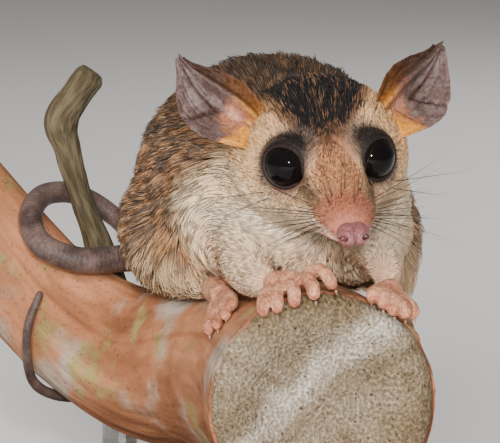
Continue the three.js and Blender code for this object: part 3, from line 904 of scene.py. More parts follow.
# %% Lie of the coat on the skin
skin_mm = skin_points / mm
skin_normals = unit(relax(normals_of(skin.data), skin_edges, 4))
skin_flow = relax(coat_lie(skin_points, skin_normals), skin_edges, 12)
skin_flow = unit(skin_flow - skin_normals * np.sum(skin_flow * skin_normals, axis=1, keepdims=True))
skin_length = relax(coat_length(skin_points), skin_edges, 8)
skin_tree = kdtree.KDTree(len(skin_mm))
for number, place in enumerate(skin_mm):
    skin_tree.insert(place, number)
skin_tree.balance()


def nearest_on_skin(points):
    return np.fromiter((skin_tree.find(p)[1] for p in points), dtype=np.int64, count=len(points))


# %% Roots and the paths that hairs follow
def scatter(density, count, seed):
    """Random roots: place, corner weights and unwrapped place of each."""
    chance = np.random.default_rng(seed)
    a, b, c = (skin_mm[corner_points[:, i]] for i in range(3))
    area = 0.5 * np.linalg.norm(np.cross(b - a, c - a), axis=1)
    weight = area * density(((a + b + c) / 3))
    picked = chance.choice(len(area), size=count, p=weight / weight.sum())
    u, v = chance.random(count), chance.random(count)
    fold = u + v > 1
    u[fold], v[fold] = 1 - u[fold], 1 - v[fold]
    share = np.stack([1 - u - v, u, v], 1)[..., None]
    corners = corner_points[picked]
    place = (skin_mm[corners] * share).sum(1)
    flat = (skin_uv[corner_loops[picked]] * share).sum(1)
    return {"place": place, "flat": flat, "near": corners[:, 0]}


def follow(roots, lengths, steps):
    """Steps along the lie of the coat, on the skin; returns the places and normals passed."""
    near = roots["near"]
    place = roots["place"].copy()
    flow = skin_flow[near].copy()
    places, normals = [place.copy()], [skin_normals[near]]
    for _ in range(steps):
        place = place + flow * (lengths / steps)[:, None]
        near = nearest_on_skin(place)
        normal = skin_normals[near]
        place = place - normal * np.sum((place - skin_mm[near]) * normal, axis=1, keepdims=True)
        flow = unit(0.35 * flow + skin_flow[near])
        flow = unit(flow - normal * np.sum(flow * normal, axis=1, keepdims=True))
        places.append(place.copy())
        normals.append(normal)
    return np.stack(places), np.stack(normals)


# %% [markdown]
# ## Tufts
#
# A tuft is a slim blade with three sides that narrows to a point. It is sunk a little into
# the skin, rises, and lies back along the coat. Neighbours lean together into locks, which
# is what gives a real coat its waves. All blades of a piece are made at once as arrays,
# because there are tens of thousands of them.

# %% Building blades
def build_blades(name, path, normals, width, base, tips, flat, chance):
    """path and normals: (steps + 1, blades, 3) in millimetres."""
    steps, blades = path.shape[0] - 1, path.shape[1]
    t = np.arange(steps + 1) / steps
    across = np.cross(np.gradient(path, axis=0), normals)
    across = across / np.maximum(np.linalg.norm(across, axis=2, keepdims=True), 1e-9)
    thick = width[None, :, None] * (1 - 0.62 * t**1.6)[:, None, None]
    left = path[:-1] - across[:-1] * thick[:-1] * 0.5
    right = path[:-1] + across[:-1] * thick[:-1] * 0.5
    ridge = path[:-1] + normals[:-1] * thick[:-1] * 0.42
    rings = np.stack([left, right, ridge], 2)
    points = np.concatenate([rings.transpose(1, 0, 2, 3).reshape(blades, -1, 3), path[-1][:, None, :]], 1)
    per_blade = 3 * steps + 1
    corners = []
    for k in range(steps - 1):
        for i in range(3):
            j = (i + 1) % 3
            a, b = 3 * k + i, 3 * k + j
            corners += [(a, b, b + 3), (a, b + 3, a + 3)]
    last = 3 * (steps - 1)
    corners += [(last, last + 1, 3 * steps), (last + 1, last + 2, 3 * steps), (last + 2, last, 3 * steps)]
    corners += [(2, 1, 0)]
    corners = np.array(corners)
    loops = (corners[None] + (np.arange(blades) * per_blade)[:, None, None]).reshape(-1)
    mesh = bpy.data.meshes.new(name)
    mesh.vertices.add(blades * per_blade)
    mesh.vertices.foreach_set("co", (points * mm).ravel())
    mesh.loops.add(len(loops))
    mesh.loops.foreach_set("vertex_index", loops)
    faces = len(loops) // 3
    mesh.polygons.add(faces)
    mesh.polygons.foreach_set("loop_start", np.arange(faces) * 3)
    mesh.polygons.foreach_set("use_smooth", [True] * faces)
    mesh.update(calc_edges=True)
    piece = link_piece(name, mesh)
    along = np.concatenate([np.repeat(t[:-1], 3), [1.0]])
    lighten = smooth_step(0.05, 0.75, along)[None, :, None]
    colour = base[:, None, :] * (1 - lighten) + tips[:, None, :] * lighten
    colour = np.concatenate([colour, np.ones((blades, per_blade, 1))], 2)
    store(piece, "marking_and_shade", colour.reshape(-1, 4))
    store(piece, "hair_along", np.tile(along, blades))
    store(piece, "hair_chance", np.repeat(chance, per_blade))
    patch = 0.003
    shift = np.stack([along, np.concatenate([np.tile([0, 0.5, 1.0], steps), [0.5]])], 1) - 0.5
    unwrapped = flat[:, None, :] + shift[None] * patch
    layer = mesh.uv_layers.new(name="OFBake")
    layer.data.foreach_set("uv", unwrapped.reshape(-1, 2)[loops].ravel())
    return piece


def coat_on(name, roots, lengths, width, lift, steps, lock_roots, clump, seed, parts, stray=0.12):
    """Tufts on the given roots, leaning into locks, split over a few pieces."""
    chance = np.random.default_rng(seed)
    count = len(lengths)
    lock_chance = chance.random(len(lock_roots["place"]))
    lock_length = skin_length[lock_roots["near"]] * (0.8 + 0.4 * lock_chance)
    lock_path, lock_normals = follow(lock_roots, lock_length, steps)
    t = (np.arange(steps + 1) / steps)[:, None, None]
    rise = 1 - (1 - t) ** 1.8
    lock_lift = lift(lock_roots["place"]) * (0.7 + 0.6 * chance.random(len(lock_chance)))
    lock_path = lock_path + lock_normals * rise * lock_lift[None, :, None]
    sway = np.cross(np.gradient(lock_path, axis=0), lock_normals)
    sway = sway / np.maximum(np.linalg.norm(sway, axis=2, keepdims=True), 1e-9)
    bend = (chance.random(len(lock_chance)) - 0.5) * 0.34 * lock_length
    lock_path = lock_path + sway * bend[None, :, None] * t**1.5
    finder = kdtree.KDTree(len(lock_chance))
    for number, place in enumerate(lock_roots["place"]):
        finder.insert(place, number)
    finder.balance()
    lock = np.fromiter((finder.find(p)[1] for p in roots["place"]), dtype=np.int64, count=count)
    own_chance = chance.random(count)
    path, normals = follow(roots, lengths, steps)
    own_lift = lift(roots["place"]) * (0.55 + 0.75 * own_chance)
    path = path + normals * (rise * own_lift[None, :, None] - 0.25 * (1 - t))
    lean = clump * t**1.25
    start = roots["place"] - lock_roots["place"][lock]
    path = path * (1 - lean) + (lock_path[:, lock] + 0.28 * start[None]) * lean
    jitter = chance.normal(0, stray, (count, 3))
    path = path + jitter[None] * t * np.clip(lengths / 3, 0.25, 1.5)[None, :, None]
    mixed = 0.45 * lock_chance[lock] + 0.55 * own_chance
    mixed = np.argsort(np.argsort(mixed)) / count
    base, tips = coat_colours(roots["place"] * mm, skin_normals[roots["near"]], mixed)
    gain = (0.82 + 0.36 * chance.random(count))[:, None]
    base, tips = base * gain, tips * gain
    order = np.argsort(roots["place"][:, 1], kind="stable")
    made = []
    for number, chosen in enumerate(np.array_split(order, parts), 1):
        made.append(
            build_blades(
                f"{name}_{number}",
                path[:, chosen],
                normals[:, chosen],
                width(chosen),
                base[chosen],
                tips[chosen],
                roots["flat"][chosen],
                own_chance[chosen],
            )
        )
    print(name, "tufts:", count, "in", parts, "pieces")
    return made


# %% [markdown]
# ## The body's coat and the face's coat
#
# The body has about forty thousand tufts, seven or eight millimetres long, in some three
# thousand locks. The face has as many, much shorter and finer. The muzzle's tip, the lids,
# the nose and the hands stay nearly bare.

# %% Coat pieces
def head_share(place):
    return on_head(to_head(place * mm))


def bareness(place):
    """1 where hair grows, 0 on the lids, the nose's edge and inside the ears' roots."""
    head = to_head(place * mm)
    reach, _, _ = eye_reach(head)
    grows = smooth_step(4.35, 4.75, reach)
    grows = grows * (1 - 0.85 * smooth_step(17.0, 20.5, head[:, 1])) * smooth_step(21.8, 21.2, head[:, 1])
    return grows


def body_density(place):
    paw, _ = near_paw(place)
    return (1 - head_share(place)) * (1 + 1.5 * paw)


def face_density(place):
    head = to_head(place * mm)
    return head_share(place) * bareness(place) * (1 + 1.2 * smooth_step(-4, 4, head[:, 1]))


def body_lift(place):
    return 0.30 * coat_length(place * mm)


def face_lift(place):
    return 0.16 * coat_length(place * mm)


body_count = 44000
face_count = 46000
body_roots = scatter(body_density, body_count, 11)
body_locks = scatter(body_density, 2600, 12)
body_lengths = skin_length[body_roots["near"]] * (0.75 + 0.4 * np.random.default_rng(13).random(body_count))
body_width = 0.15 + 0.02 * body_lengths
coat_body = coat_on(
    "coat_body",
    body_roots,
    body_lengths,
    lambda chosen: body_width[chosen],
    body_lift,
    3,
    body_locks,
    0.72,
    14,
    4,
)
face_roots = scatter(face_density, face_count, 21)
face_locks = scatter(face_density, 5200, 22)
face_spread = 0.75 + 0.45 * np.random.default_rng(23).random(face_count)
face_lengths = skin_length[face_roots["near"]] * face_spread
face_width = 0.085 + 0.028 * face_lengths
coat_face = coat_on(
    "coat_face",
    face_roots,
    face_lengths,
    lambda chosen: face_width[chosen],
    face_lift,
    2,
    face_locks,
    0.5,
    24,
    3,
    0.1,
)

# %% [markdown]
# ## Coat material
#
# Each hair carries its own colour from base to tip. The material only adds what a rule
# can't: a slow drift of warmth over the body and the soft sheen of fine hair.

# %% Mottle group
def build_mottle_group():
    """Noise that mixes two colours and gives its own height."""
    group = bpy.data.node_groups.new("mottle", "ShaderNodeTree")
    for label, kind, value in (
        ("Place", "NodeSocketVector", (0, 0, 0)),
        ("Size", "NodeSocketFloat", 1.0),
        ("Detail", "NodeSocketFloat", 4.0),
        ("Low", "NodeSocketFloat", 0.35),
        ("High", "NodeSocketFloat", 0.65),
        ("Dark", "NodeSocketColor", (0, 0, 0, 1)),
        ("Light", "NodeSocketColor", (1, 1, 1, 1)),
    ):
        group.interface.new_socket(label, in_out="INPUT", socket_type=kind).default_value = value
    group.interface.new_socket("Colour", in_out="OUTPUT", socket_type="NodeSocketColor")
    group.interface.new_socket("Height", in_out="OUTPUT", socket_type="NodeSocketFloat")
    given, result = group.nodes.new("NodeGroupInput"), group.nodes.new("NodeGroupOutput")
    grain = group.nodes.new("ShaderNodeTexNoise")
    limits = group.nodes.new("ShaderNodeMapRange")
    limits.interpolation_type = "SMOOTHSTEP"
    mix = group.nodes.new("ShaderNodeMix")
    mix.data_type = "RGBA"
    link = group.links.new
    link(given.outputs["Place"], grain.inputs["Vector"])
    link(given.outputs["Size"], grain.inputs["Scale"])
    link(given.outputs["Detail"], grain.inputs["Detail"])
    link(grain.outputs["Fac"], limits.inputs["Value"])
    link(given.outputs["Low"], limits.inputs["From Min"])
    link(given.outputs["High"], limits.inputs["From Max"])
    link(limits.outputs["Result"], mix.inputs["Factor"])
    link(given.outputs["Dark"], mix.inputs["A"])
    link(given.outputs["Light"], mix.inputs["B"])
    link(mix.outputs["Result"], result.inputs["Colour"])
    link(limits.outputs["Result"], result.inputs["Height"])
    return group


mottle_group = build_mottle_group()


def add_mottle(tree, place, size, dark, light, low=0.35, high=0.65, detail=4.0):
    """Adds the group above, and gives its outputs, Colour and Height."""
    node = tree.nodes.new("ShaderNodeGroup")
    node.node_tree = mottle_group
    for label, value in (("Size", size), ("Detail", detail), ("Low", low), ("High", high)):
        node.inputs[label].default_value = value
    node.inputs["Dark"].default_value = (*dark, 1)
    node.inputs["Light"].default_value = (*light, 1)
    tree.links.new(place, node.inputs["Place"])
    return node.outputs


def add_mix(tree, a, b, factor, kind="MIX"):
    """Mixes two colours; each of a, b and factor is a socket or a plain value."""
    node = tree.nodes.new("ShaderNodeMix")
    node.data_type = "RGBA"
    node.blend_type = kind
    for label, value in (("A", a), ("B", b), ("Factor", factor)):
        if isinstance(value, bpy.types.NodeSocket):
            tree.links.new(value, node.inputs[label])
        elif label == "Factor":
            node.inputs[label].default_value = value
        else:
            node.inputs[label].default_value = (*value, 1)
    return node.outputs["Result"]


def add_attribute(tree, name, output):
    node = tree.nodes.new("ShaderNodeAttribute")
    node.attribute_name = name
    return node.outputs[output]


def multiply(tree, a, b):
    return add_mix(tree, a, b, 1.0, "MULTIPLY")


def add_ramp(tree, value, low, high, result=(0.0, 1.0), smooth=False):
    """Stretches low..high of a value to the range of the result."""
    node = tree.nodes.new("ShaderNodeMapRange")
    if smooth:
        node.interpolation_type = "SMOOTHSTEP"
    for label, number in zip(("From Min", "From Max", "To Min", "To Max"), (low, high, *result)):
        node.inputs[label].default_value = number
    tree.links.new(value, node.inputs["Value"])
    return node.outputs["Result"]


def add_sum(tree, kind, first, second, third=None, clamp=False):
    """A math node; first and third are sockets, second is a plain value."""
    node = tree.nodes.new("ShaderNodeMath")
    node.operation, node.use_clamp = kind, clamp
    tree.links.new(first, node.inputs[0])
    node.inputs[1].default_value = second
    if third is not None:
        tree.links.new(third, node.inputs[2])
    return node.outputs["Value"]


def scaled_place(tree, place, stretch):
    mapping = tree.nodes.new("ShaderNodeMapping")
    mapping.inputs["Scale"].default_value = stretch
    tree.links.new(place, mapping.inputs["Vector"])
    return mapping.outputs["Vector"]


def set_finish(tree, shader, colour, **values):
    """Links the colour, and sets the shader's inputs named as in Coat_Weight=0.3."""
    tree.links.new(colour, shader.inputs["Base Color"])
    for label, value in values.items():
        shader.inputs[label.replace("_", " ")].default_value = value


def object_place(tree):
    return tree.nodes.new("ShaderNodeTexCoord").outputs["Object"]


def add_bump(tree, shader, height, strength, distance):
    node = tree.nodes.new("ShaderNodeBump")
    node.inputs["Strength"].default_value = strength
    node.inputs["Distance"].default_value = distance
    tree.links.new(height, node.inputs["Height"])
    tree.links.new(node.outputs["Normal"], shader.inputs["Normal"])
    return node


# %% Coat and skin materials
def hair_material(name, roughness, sheen):
    material, tree, shader = new_material(name)
    marking_and_shade = add_attribute(tree, "marking_and_shade", "Color")
    drift = add_mottle(tree, object_place(tree), 260, (0.86, 0.84, 0.84), (1.1, 1.04, 0.98))
    colour = multiply(tree, marking_and_shade, drift["Colour"])
    set_finish(
        tree, shader, colour, Roughness=roughness, Specular_IOR_Level=0.08, Sheen_Weight=sheen,
        Sheen_Roughness=0.5
    )
    return material


coat_material = hair_material("coat_hair", 0.72, 0.03)
for piece in coat_body + coat_face:
    piece.data.materials.append(coat_material)
    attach(piece, "root")

under, over = coat_colours(skin_points, skin_normals, np.full(len(skin_points), 0.6))
skin_tone = np.array((0.32, 0.115, 0.072))
bare_share = smooth_step(17.0, 20.5, to_head(skin_points)[:, 1])
paw_share, _ = near_paw(skin_mm)
# The skin is darkened to 0.6 of the hair base colour plus 0.2 of the tip colour: painted shade under the
# coat.
shaded_skin_colour = blend_to(under * 0.6 + over * 0.2, skin_tone, np.maximum(bare_share, 0.6 * paw_share))
store_colour(skin, shaded_skin_colour)
skin_material, skin_tree_nodes, skin_shader = new_material("skin_under_coat")
skin_marking_and_shade = add_attribute(skin_tree_nodes, "marking_and_shade", "Color")
pores = add_mottle(skin_tree_nodes, object_place(skin_tree_nodes), 2400, (0.82, 0.8, 0.8), (1.06, 1.02, 1))
skin_mixed = multiply(skin_tree_nodes, skin_marking_and_shade, pores["Colour"])
set_finish(skin_tree_nodes, skin_shader, skin_mixed, Roughness=0.6)
add_bump(skin_tree_nodes, skin_shader, pores["Height"], 0.5, 0.0001)
skin.data.materials.append(skin_material)
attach(skin, "root")
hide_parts(*flesh)

# %% [markdown]
# ## The eyes
#
# The eyes are large, wet and almost black. Each is a ball with a slightly raised cornea, and
# a thin lid stands round it. The lid is dark skin, a little browner at its narrow edge,
# and its outside runs in under the coat.

# %% Eyes
eye_radius = 4.0
lid_opening = 3.42


def eye_axes(side):
    ahead_axis = gaze(side)
    up_axis = head_direction(0, 0, 1)
    up_axis = (up_axis - ahead_axis * up_axis.dot(ahead_axis)).normalized()
    return ahead_axis, up_axis, up_axis.cross(ahead_axis)


def build_eye(name, side):
    made = bmesh.new()
    bmesh.ops.create_uvsphere(made, u_segments=72, v_segments=48, radius=1)
    mesh = bpy.data.meshes.new(name)
    made.to_mesh(mesh)
    made.free()
    ahead_axis, up_axis, out_axis = (np.array(v) for v in eye_axes(side))
    ball = unit(points_of(mesh))
    from_gaze = np.arccos(np.clip(ball[:, 2], -1, 1))
    reach = eye_radius * (1 + 0.014 * np.exp(-((from_gaze / 0.75) ** 2)))[:, None]
    centre = np.array(from_head(side * eye_aside, 0, eye_rise))
    turned = ball[:, :1] * out_axis + ball[:, 1:2] * up_axis + ball[:, 2:] * ahead_axis
    set_points(mesh, centre + turned * reach * mm)
    piece = link_piece(name, mesh)
    mesh.polygons.foreach_set("use_smooth", [True] * len(mesh.polygons))
    store(piece, "from_gaze", from_gaze)
    return piece


def build_lid(name, side):
    ahead_axis, up_axis, out_axis = (np.array(v) for v in eye_axes(side))
    centre = np.array(from_head(side * eye_aside, 0, eye_rise)) / mm
    around = np.linspace(0, 2 * np.pi, 120, endpoint=False)
    inner_corner = math.atan2(-0.55, -side)
    gap = np.angle(np.exp(1j * (around - inner_corner)))
    opening = lid_opening + 0.42 * np.exp(-((gap / 0.3) ** 2)) + 0.05 * np.sin(3 * around)
    profile = Route(
        [(-0.28, 0, -0.14), (-0.1, 0, 0.1), (0.02, 0, 0.24), (0.25, 0, 0.3), (0.55, 0, 0.12)]
        + [(0.95, 0, -0.45), (1.4, 0, -1.35), (1.45, 0, -2.0), (0.7, 0, -2.1), (0, 0, -1.2)]
    ).at(np.linspace(0, 1, 34))
    level = np.sqrt(np.maximum(eye_radius**2 - opening**2, 0))
    reach = opening[:, None] + profile[None, :, 0]
    ahead = level[:, None] + profile[None, :, 2]
    folds = 0.05 * np.sin(26 * around)[:, None] * np.exp(-(((profile[:, 0] - 0.6) / 0.35) ** 2))[None]
    points = (
        centre
        + ahead_axis * (ahead + folds)[..., None]
        + out_axis * (reach * np.cos(around)[:, None])[..., None]
        + up_axis * (reach * np.sin(around)[:, None])[..., None]
    )
    closed = np.concatenate([points, points[:1]])
    piece = grid_mesh(name, closed * mm, cap_ends=False)
    face_outwards(piece, 1e-7)
    local = (points_of(piece.data) / mm - centre) @ np.array(ahead_axis)
    sideways = points_of(piece.data) / mm - centre - local[:, None] * np.array(ahead_axis)
    edge = np.linalg.norm(sideways, axis=1) - lid_opening
    store(piece, "from_edge", edge)
    return piece


eye_material, eye_tree, eye_shader = new_material("eye_wet")
iris_edge = add_ramp(eye_tree, add_attribute(eye_tree, "from_gaze", "Fac"), 0.55, 1.0)
iris_fibres = add_mottle(
    eye_tree, object_place(eye_tree), 2600, (0.003, 0.002, 0.002), (0.006, 0.004, 0.003)
)
pupil_black = (0.003, 0.002, 0.0025)
eye_colour = add_mix(
    eye_tree, pupil_black, iris_fibres["Colour"], iris_edge
)
set_finish(eye_tree, eye_shader, eye_colour, Roughness=0.04, Specular_IOR_Level=0.11)

lid_material, lid_tree, lid_shader = new_material("lid_skin")
lid_edge = add_ramp(lid_tree, add_attribute(lid_tree, "from_edge", "Fac"), 0.0, 0.24)
lid_grain = add_mottle(
    lid_tree, object_place(lid_tree), 3000, (0.005, 0.0035, 0.003), (0.016, 0.010, 0.009)
)
lid_colour = add_mix(lid_tree, (0.022, 0.013, 0.012), lid_grain["Colour"], lid_edge)
set_finish(lid_tree, lid_shader, lid_colour, Roughness=0.5, Specular_IOR_Level=0.2)
add_bump(lid_tree, lid_shader, lid_grain["Height"], 0.4, 0.00008)

for node, side in (("eye_right", -1), ("eye_left", 1)):
    ball = build_eye(f"ball_of_{node}", side)
    ball.data.materials.append(eye_material)
    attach(ball, "root")
    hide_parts(node)
    lid = build_lid(f"lid_of_{node}", side)
    lid.data.materials.append(lid_material)
    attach(lid, "root")
print("eyes", round(2 * eye_radius, 1), "mm across, open", round(2 * lid_opening, 2))

# %% [markdown]
# ## The ears
#
# The ears are thin, bare and creased, like wet leather. The upper edge is folded forward in
# a sharp ridge that runs from the root to the hooked tip, and the bowl below it is crossed
# by creases. The bowl turns pink and then yellow towards the root. Each ear is one sheet,
# shaped by a rule in two directions, along and across, and then given its thickness. Its
# root is bent down into the skin, so that the face's hair closes over it.

# %% Ears
ear_length = 19.0
ear_half_widths = [(0, 4.4), (0.14, 6.2), (0.34, 7.3), (0.55, 6.9)]
ear_half_widths += [(0.72, 5.2), (0.84, 3.2), (0.93, 1.7), (1, 1.0)]
ear_poses = {
    "ear_right": (-1, (-13.2, -8.6, 4.6), (-0.6, -0.68, 0.46), (-0.2, 0.72, 0.62)),
    "ear_left": (1, (13.4, -9.4, 4.2), (0.62, -0.72, 0.36), (0.42, 0.72, 0.62)),
}
fan_creases = ((-0.14, 0.5, 0.16), (0.4, -0.45, 0.22), (0.58, -0.2, 0.14), (0.74, -0.6, 0.16))
ear_long, ear_wide = 130, 150
root_rounds = 30


def bump_at(x, middle, width):
    return np.exp(-(((x - middle) / width) ** 2))


def ear_sheet(side, root, axis, face, seed):
    """Middle surface of an ear in millimetres, with its two directions, and its hollows."""
    u = np.linspace(0, 1, ear_long)[:, None] * np.ones((1, ear_wide))
    v = np.linspace(-1, 1, ear_wide)[None, :] * np.ones((ear_long, 1))
    length = unit(np.array(axis))
    front = np.array(face) - length * np.dot(face, length)
    front = front / np.linalg.norm(front)
    flip = np.array((1, -1, 1))
    across = np.cross(length * flip, front * flip) * flip * side
    across = across / np.linalg.norm(across)
    flat = np.stack([u * 20 + seed * 50, v * 7, 0 * u], -1).reshape(-1, 3)
    edge_places = flat * np.array((1, 0, 1)) + np.sign(v).reshape(-1, 1) * 9
    edge_wave = 1 + 0.022 * soft_noise(edge_places, 0.9, 41).reshape(u.shape)
    half = read_table(ear_half_widths, u) * edge_wave
    cup = half * (0.42 * v * v + 0.1 * np.maximum(0, v) ** 3) * (1 - 0.35 * u)
    bow = -2.2 * np.sin(np.pi * np.minimum(1, u * 1.1)) + 12 * np.maximum(0, u - 0.8) ** 2
    ridge_at = -0.52 + 0.3 * u
    ridge = 1.9 * bump_at(v, ridge_at, 0.13) * smooth_step(0.02, 0.25, u)
    ridge = ridge * (1 - 0.45 * smooth_step(0.7, 1, u))
    behind = -1.5 * smooth_step(ridge_at, ridge_at - 0.35, v) * smooth_step(0.05, 0.3, u)
    crease = -0.75 * bump_at(v - 0.14 * (u - 0.5), 0.16, 0.055)
    crease = crease * smooth_step(0.34, 0.5, u) * (1 - smooth_step(0.86, 0.98, u))
    fan = 0.0
    for middle, lean, depth in fan_creases:
        fold = depth * bump_at(v + lean * (u - 0.4), middle, 0.05)
        fan = fan - fold * smooth_step(0.2, 0.42, u) * smooth_step(0.92, 0.7, u)
    bowl = -1.1 * bump_at(v, 0.05, 0.45) * bump_at(u, 0.3, 0.2)
    fan = fan - 0.55 * bump_at(u - 0.1 * v, 0.44, 0.03) * smooth_step(-0.1, 0.2, v)
    wrinkles = 0.0
    for size, height, number in ((2.6, 0.3, 42), (1.2, 0.16, 43), (0.6, 0.07, 44)):
        waves = soft_noise(flat * np.array((0.75, 1.2, 1)), size, number).reshape(u.shape)
        wrinkles = wrinkles + height * waves
    wrinkles = wrinkles * smooth_step(0.1, 0.35, u)
    step = 0.9 * smooth_step(0.05, 0.1, u) * smooth_step(0.24, 0.17, u)
    step = step * smooth_step(-0.15, 0.1, v) * smooth_step(1.0, 0.8, v)
    relief = ridge + behind + crease + fan + bowl + wrinkles + step
    place = (
        np.array(root)
        + length * ((u - 0.1) * ear_length)[..., None]
        + across * (half * v * np.where(v < 0, 0.74, 0.9) - 7.5 * np.maximum(0, u - 0.6) ** 2)[..., None]
        + front * (cup + bow + relief)[..., None]
    )
    return u, v, place, relief


def relax_row(row):
    """Evens out a row of shifts, so that the ear's root stays one smooth curve."""
    for _ in range(root_rounds):
        row = np.concatenate([row[:1], (row[:-2] + row[1:-1] + row[2:]) / 3, row[-1:]])
    return row


def ear_colours(u, v, relief, seed):
    flat = np.stack([u * 20 + seed * 50, v * 7, 0 * u], -1).reshape(-1, 3)
    patchy = soft_noise(flat, 1.6, 45).reshape(u.shape)
    mauve, umber = np.array((0.085, 0.056, 0.05)), np.array((0.045, 0.022, 0.013))
    peach, amber = np.array((0.30, 0.115, 0.058)), np.array((0.44, 0.175, 0.02))
    colour = np.ones((*u.shape, 3)) * mauve

    def lay(target, mask):
        mask = np.clip(mask, 0, 1)[..., None]
        return colour * (1 - mask) + target * mask

    colour = lay(np.array((0.17, 0.125, 0.115)), 0.5 * smooth_step(0.1, 0.6, patchy))
    colour = lay(umber, 0.75 * smooth_step(-0.38 + 0.3 * u, -0.6 + 0.3 * u, v))
    # Darker where the relief sinks into the hollows and creases: painted shade.
    colour = lay(umber * 0.7, 0.8 * smooth_step(-0.25, -0.75, relief) * smooth_step(0.3, 0.5, u))
    near_root = smooth_step(0.46, 0.26, u + 0.1 * patchy + 0.3 * np.maximum(v - 0.1, 0))
    colour = lay(peach, 0.85 * near_root * smooth_step(-0.7, -0.3, v))
    colour = lay(np.array((0.62, 0.32, 0.24)), 0.6 * bump_at(u, 0.3, 0.1) * bump_at(v, -0.15, 0.18))
    colour = lay(np.array((0.085, 0.034, 0.012)), smooth_step(0.7, 0.4, u) * smooth_step(-0.4, -0.6, v))
    colour = lay(amber, smooth_step(0.2, 0.13, u + 0.04 * patchy) * smooth_step(-0.55, -0.2, v))
    colour = lay(np.array((0.17, 0.062, 0.014)), smooth_step(0.3, 0.08, u) * smooth_step(-0.3, -0.6, v))
    colour = lay(amber * 0.7, 0.7 * smooth_step(0.4, 0.15, u) * bump_at(v, -0.5, 0.1))
    return colour


def build_ear(name, side, root, axis, face):
    seed = 1 if side < 0 else 2
    u, v, place, relief = ear_sheet(side, root, axis, face, seed)
    normal = np.cross(np.gradient(place, axis=0), np.gradient(place, axis=1))
    normal = normal / np.linalg.norm(normal, axis=2, keepdims=True)
    front = np.array(face)
    if np.mean(normal @ front) < 0:
        normal = -normal
    rim = np.minimum(1 - np.abs(v), (1 - u) * 3)
    thick = (0.13 + 0.28 * (1 - u) * (1 - v * v)) * np.clip(rim / 0.03, 0.35, 1)
    sheets = [place + normal * thick[..., None], place - normal * thick[..., None]]
    world = np.concatenate([s.reshape(-1, 3) for s in sheets]) * np.array((1, -1, 1)) @ head_rows.T
    world = world + np.array(eye_middle) / mm
    # The rows next to the root bend down until they are sunk in the skin.
    edge = world.reshape(2, ear_long, ear_wide, 3)
    nearest = nearest_on_skin(edge[0, 0])
    sunk = relax_row(skin_mm[nearest] - 0.9 * skin_normals[nearest] - edge[0, 0])
    share = smooth_step(0.34, 0.0, u)[None, :, :, None]
    world = (edge + share * sunk[None, None]).reshape(-1, 3) * mm
    r, c = np.meshgrid(np.arange(ear_long - 1), np.arange(ear_wide - 1), indexing="ij")
    a = (r * ear_wide + c).ravel()
    quads = np.stack([a, a + 1, a + ear_wide + 1, a + ear_wide], 1)
    size = ear_long * ear_wide
    faces = quads.tolist() + (quads[:, ::-1] + size).tolist()
    loop = [*range(ear_wide), *(i * ear_wide + ear_wide - 1 for i in range(1, ear_long))]
    loop += [(ear_long - 1) * ear_wide + i for i in range(ear_wide - 2, -1, -1)]
    loop += [i * ear_wide for i in range(ear_long - 2, 0, -1)]
    for i, start in enumerate(loop):
        end = loop[(i + 1) % len(loop)]
        faces.append([end, start, start + size, end + size])
    piece = plain_mesh(name, world, faces)
    face_outwards(piece)
    piece.data.polygons.foreach_set("use_smooth", [True] * len(piece.data.polygons))
    colour = ear_colours(u, v, relief, seed).reshape(-1, 3)
    # The back sheet takes the front's colours darkened: painted shade on the side turned away.
    back = colour * np.array((0.75, 0.7, 0.7))
    front_and_shaded_back = np.concatenate([colour, back])
    store_colour(piece, front_and_shaded_back)
    store(piece, "towards_tip", np.tile(u.ravel(), 2))
    return piece


ear_material, ear_tree, ear_shader = new_material("ear_wet_leather")
ear_place = object_place(ear_tree)
ear_grain = add_mottle(ear_tree, ear_place, 1500, (0.72, 0.7, 0.7), (1.22, 1.2, 1.2), 0.3, 0.7)
ear_fine = add_mottle(ear_tree, ear_place, 5200, (0.85, 0.85, 0.85), (1.1, 1.1, 1.1))
ear_marking_and_shade = add_attribute(ear_tree, "marking_and_shade", "Color")
ear_base = multiply(ear_tree, ear_marking_and_shade, ear_grain["Colour"])
ear_base = multiply(ear_tree, ear_base, ear_fine["Colour"])
ear_tree.links.new(ear_base, ear_shader.inputs["Base Color"])
ear_gloss = add_ramp(ear_tree, ear_grain["Height"], 0.0, 1.0, (0.22, 0.55))
ear_tree.links.new(ear_gloss, ear_shader.inputs["Roughness"])
ear_heights = add_mix(ear_tree, ear_grain["Colour"], ear_fine["Colour"], 0.45)
add_bump(ear_tree, ear_shader, ear_heights, 0.7, 0.00035)
ear_shader.inputs["Subsurface Weight"].default_value = 0.12
ear_shader.inputs["Subsurface Radius"].default_value = (0.002, 0.0007, 0.0004)
ear_shader.inputs["Subsurface Scale"].default_value = 1.0
for node, (side, root, axis, face) in ear_poses.items():
    ear = build_ear(f"skin_of_{node}", side, root, axis, face)
    ear.data.materials.append(ear_material)
    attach(ear, "root")
    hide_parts(node)
print("ear sheet:", ear_long, "by", ear_wide, "points a side")

# %% [markdown]
# ## Nose and mouth
#
# The nose is a moist pad of two lobes with a comma-shaped nostril in each. The solid has its
# form. It is melted with very small voxels, which keeps the nostrils, and a fine pebbled
# relief is added. The mouth shows as two narrow lips that follow the muzzle back below the
# nose. They are swept along a line laid on the skin.

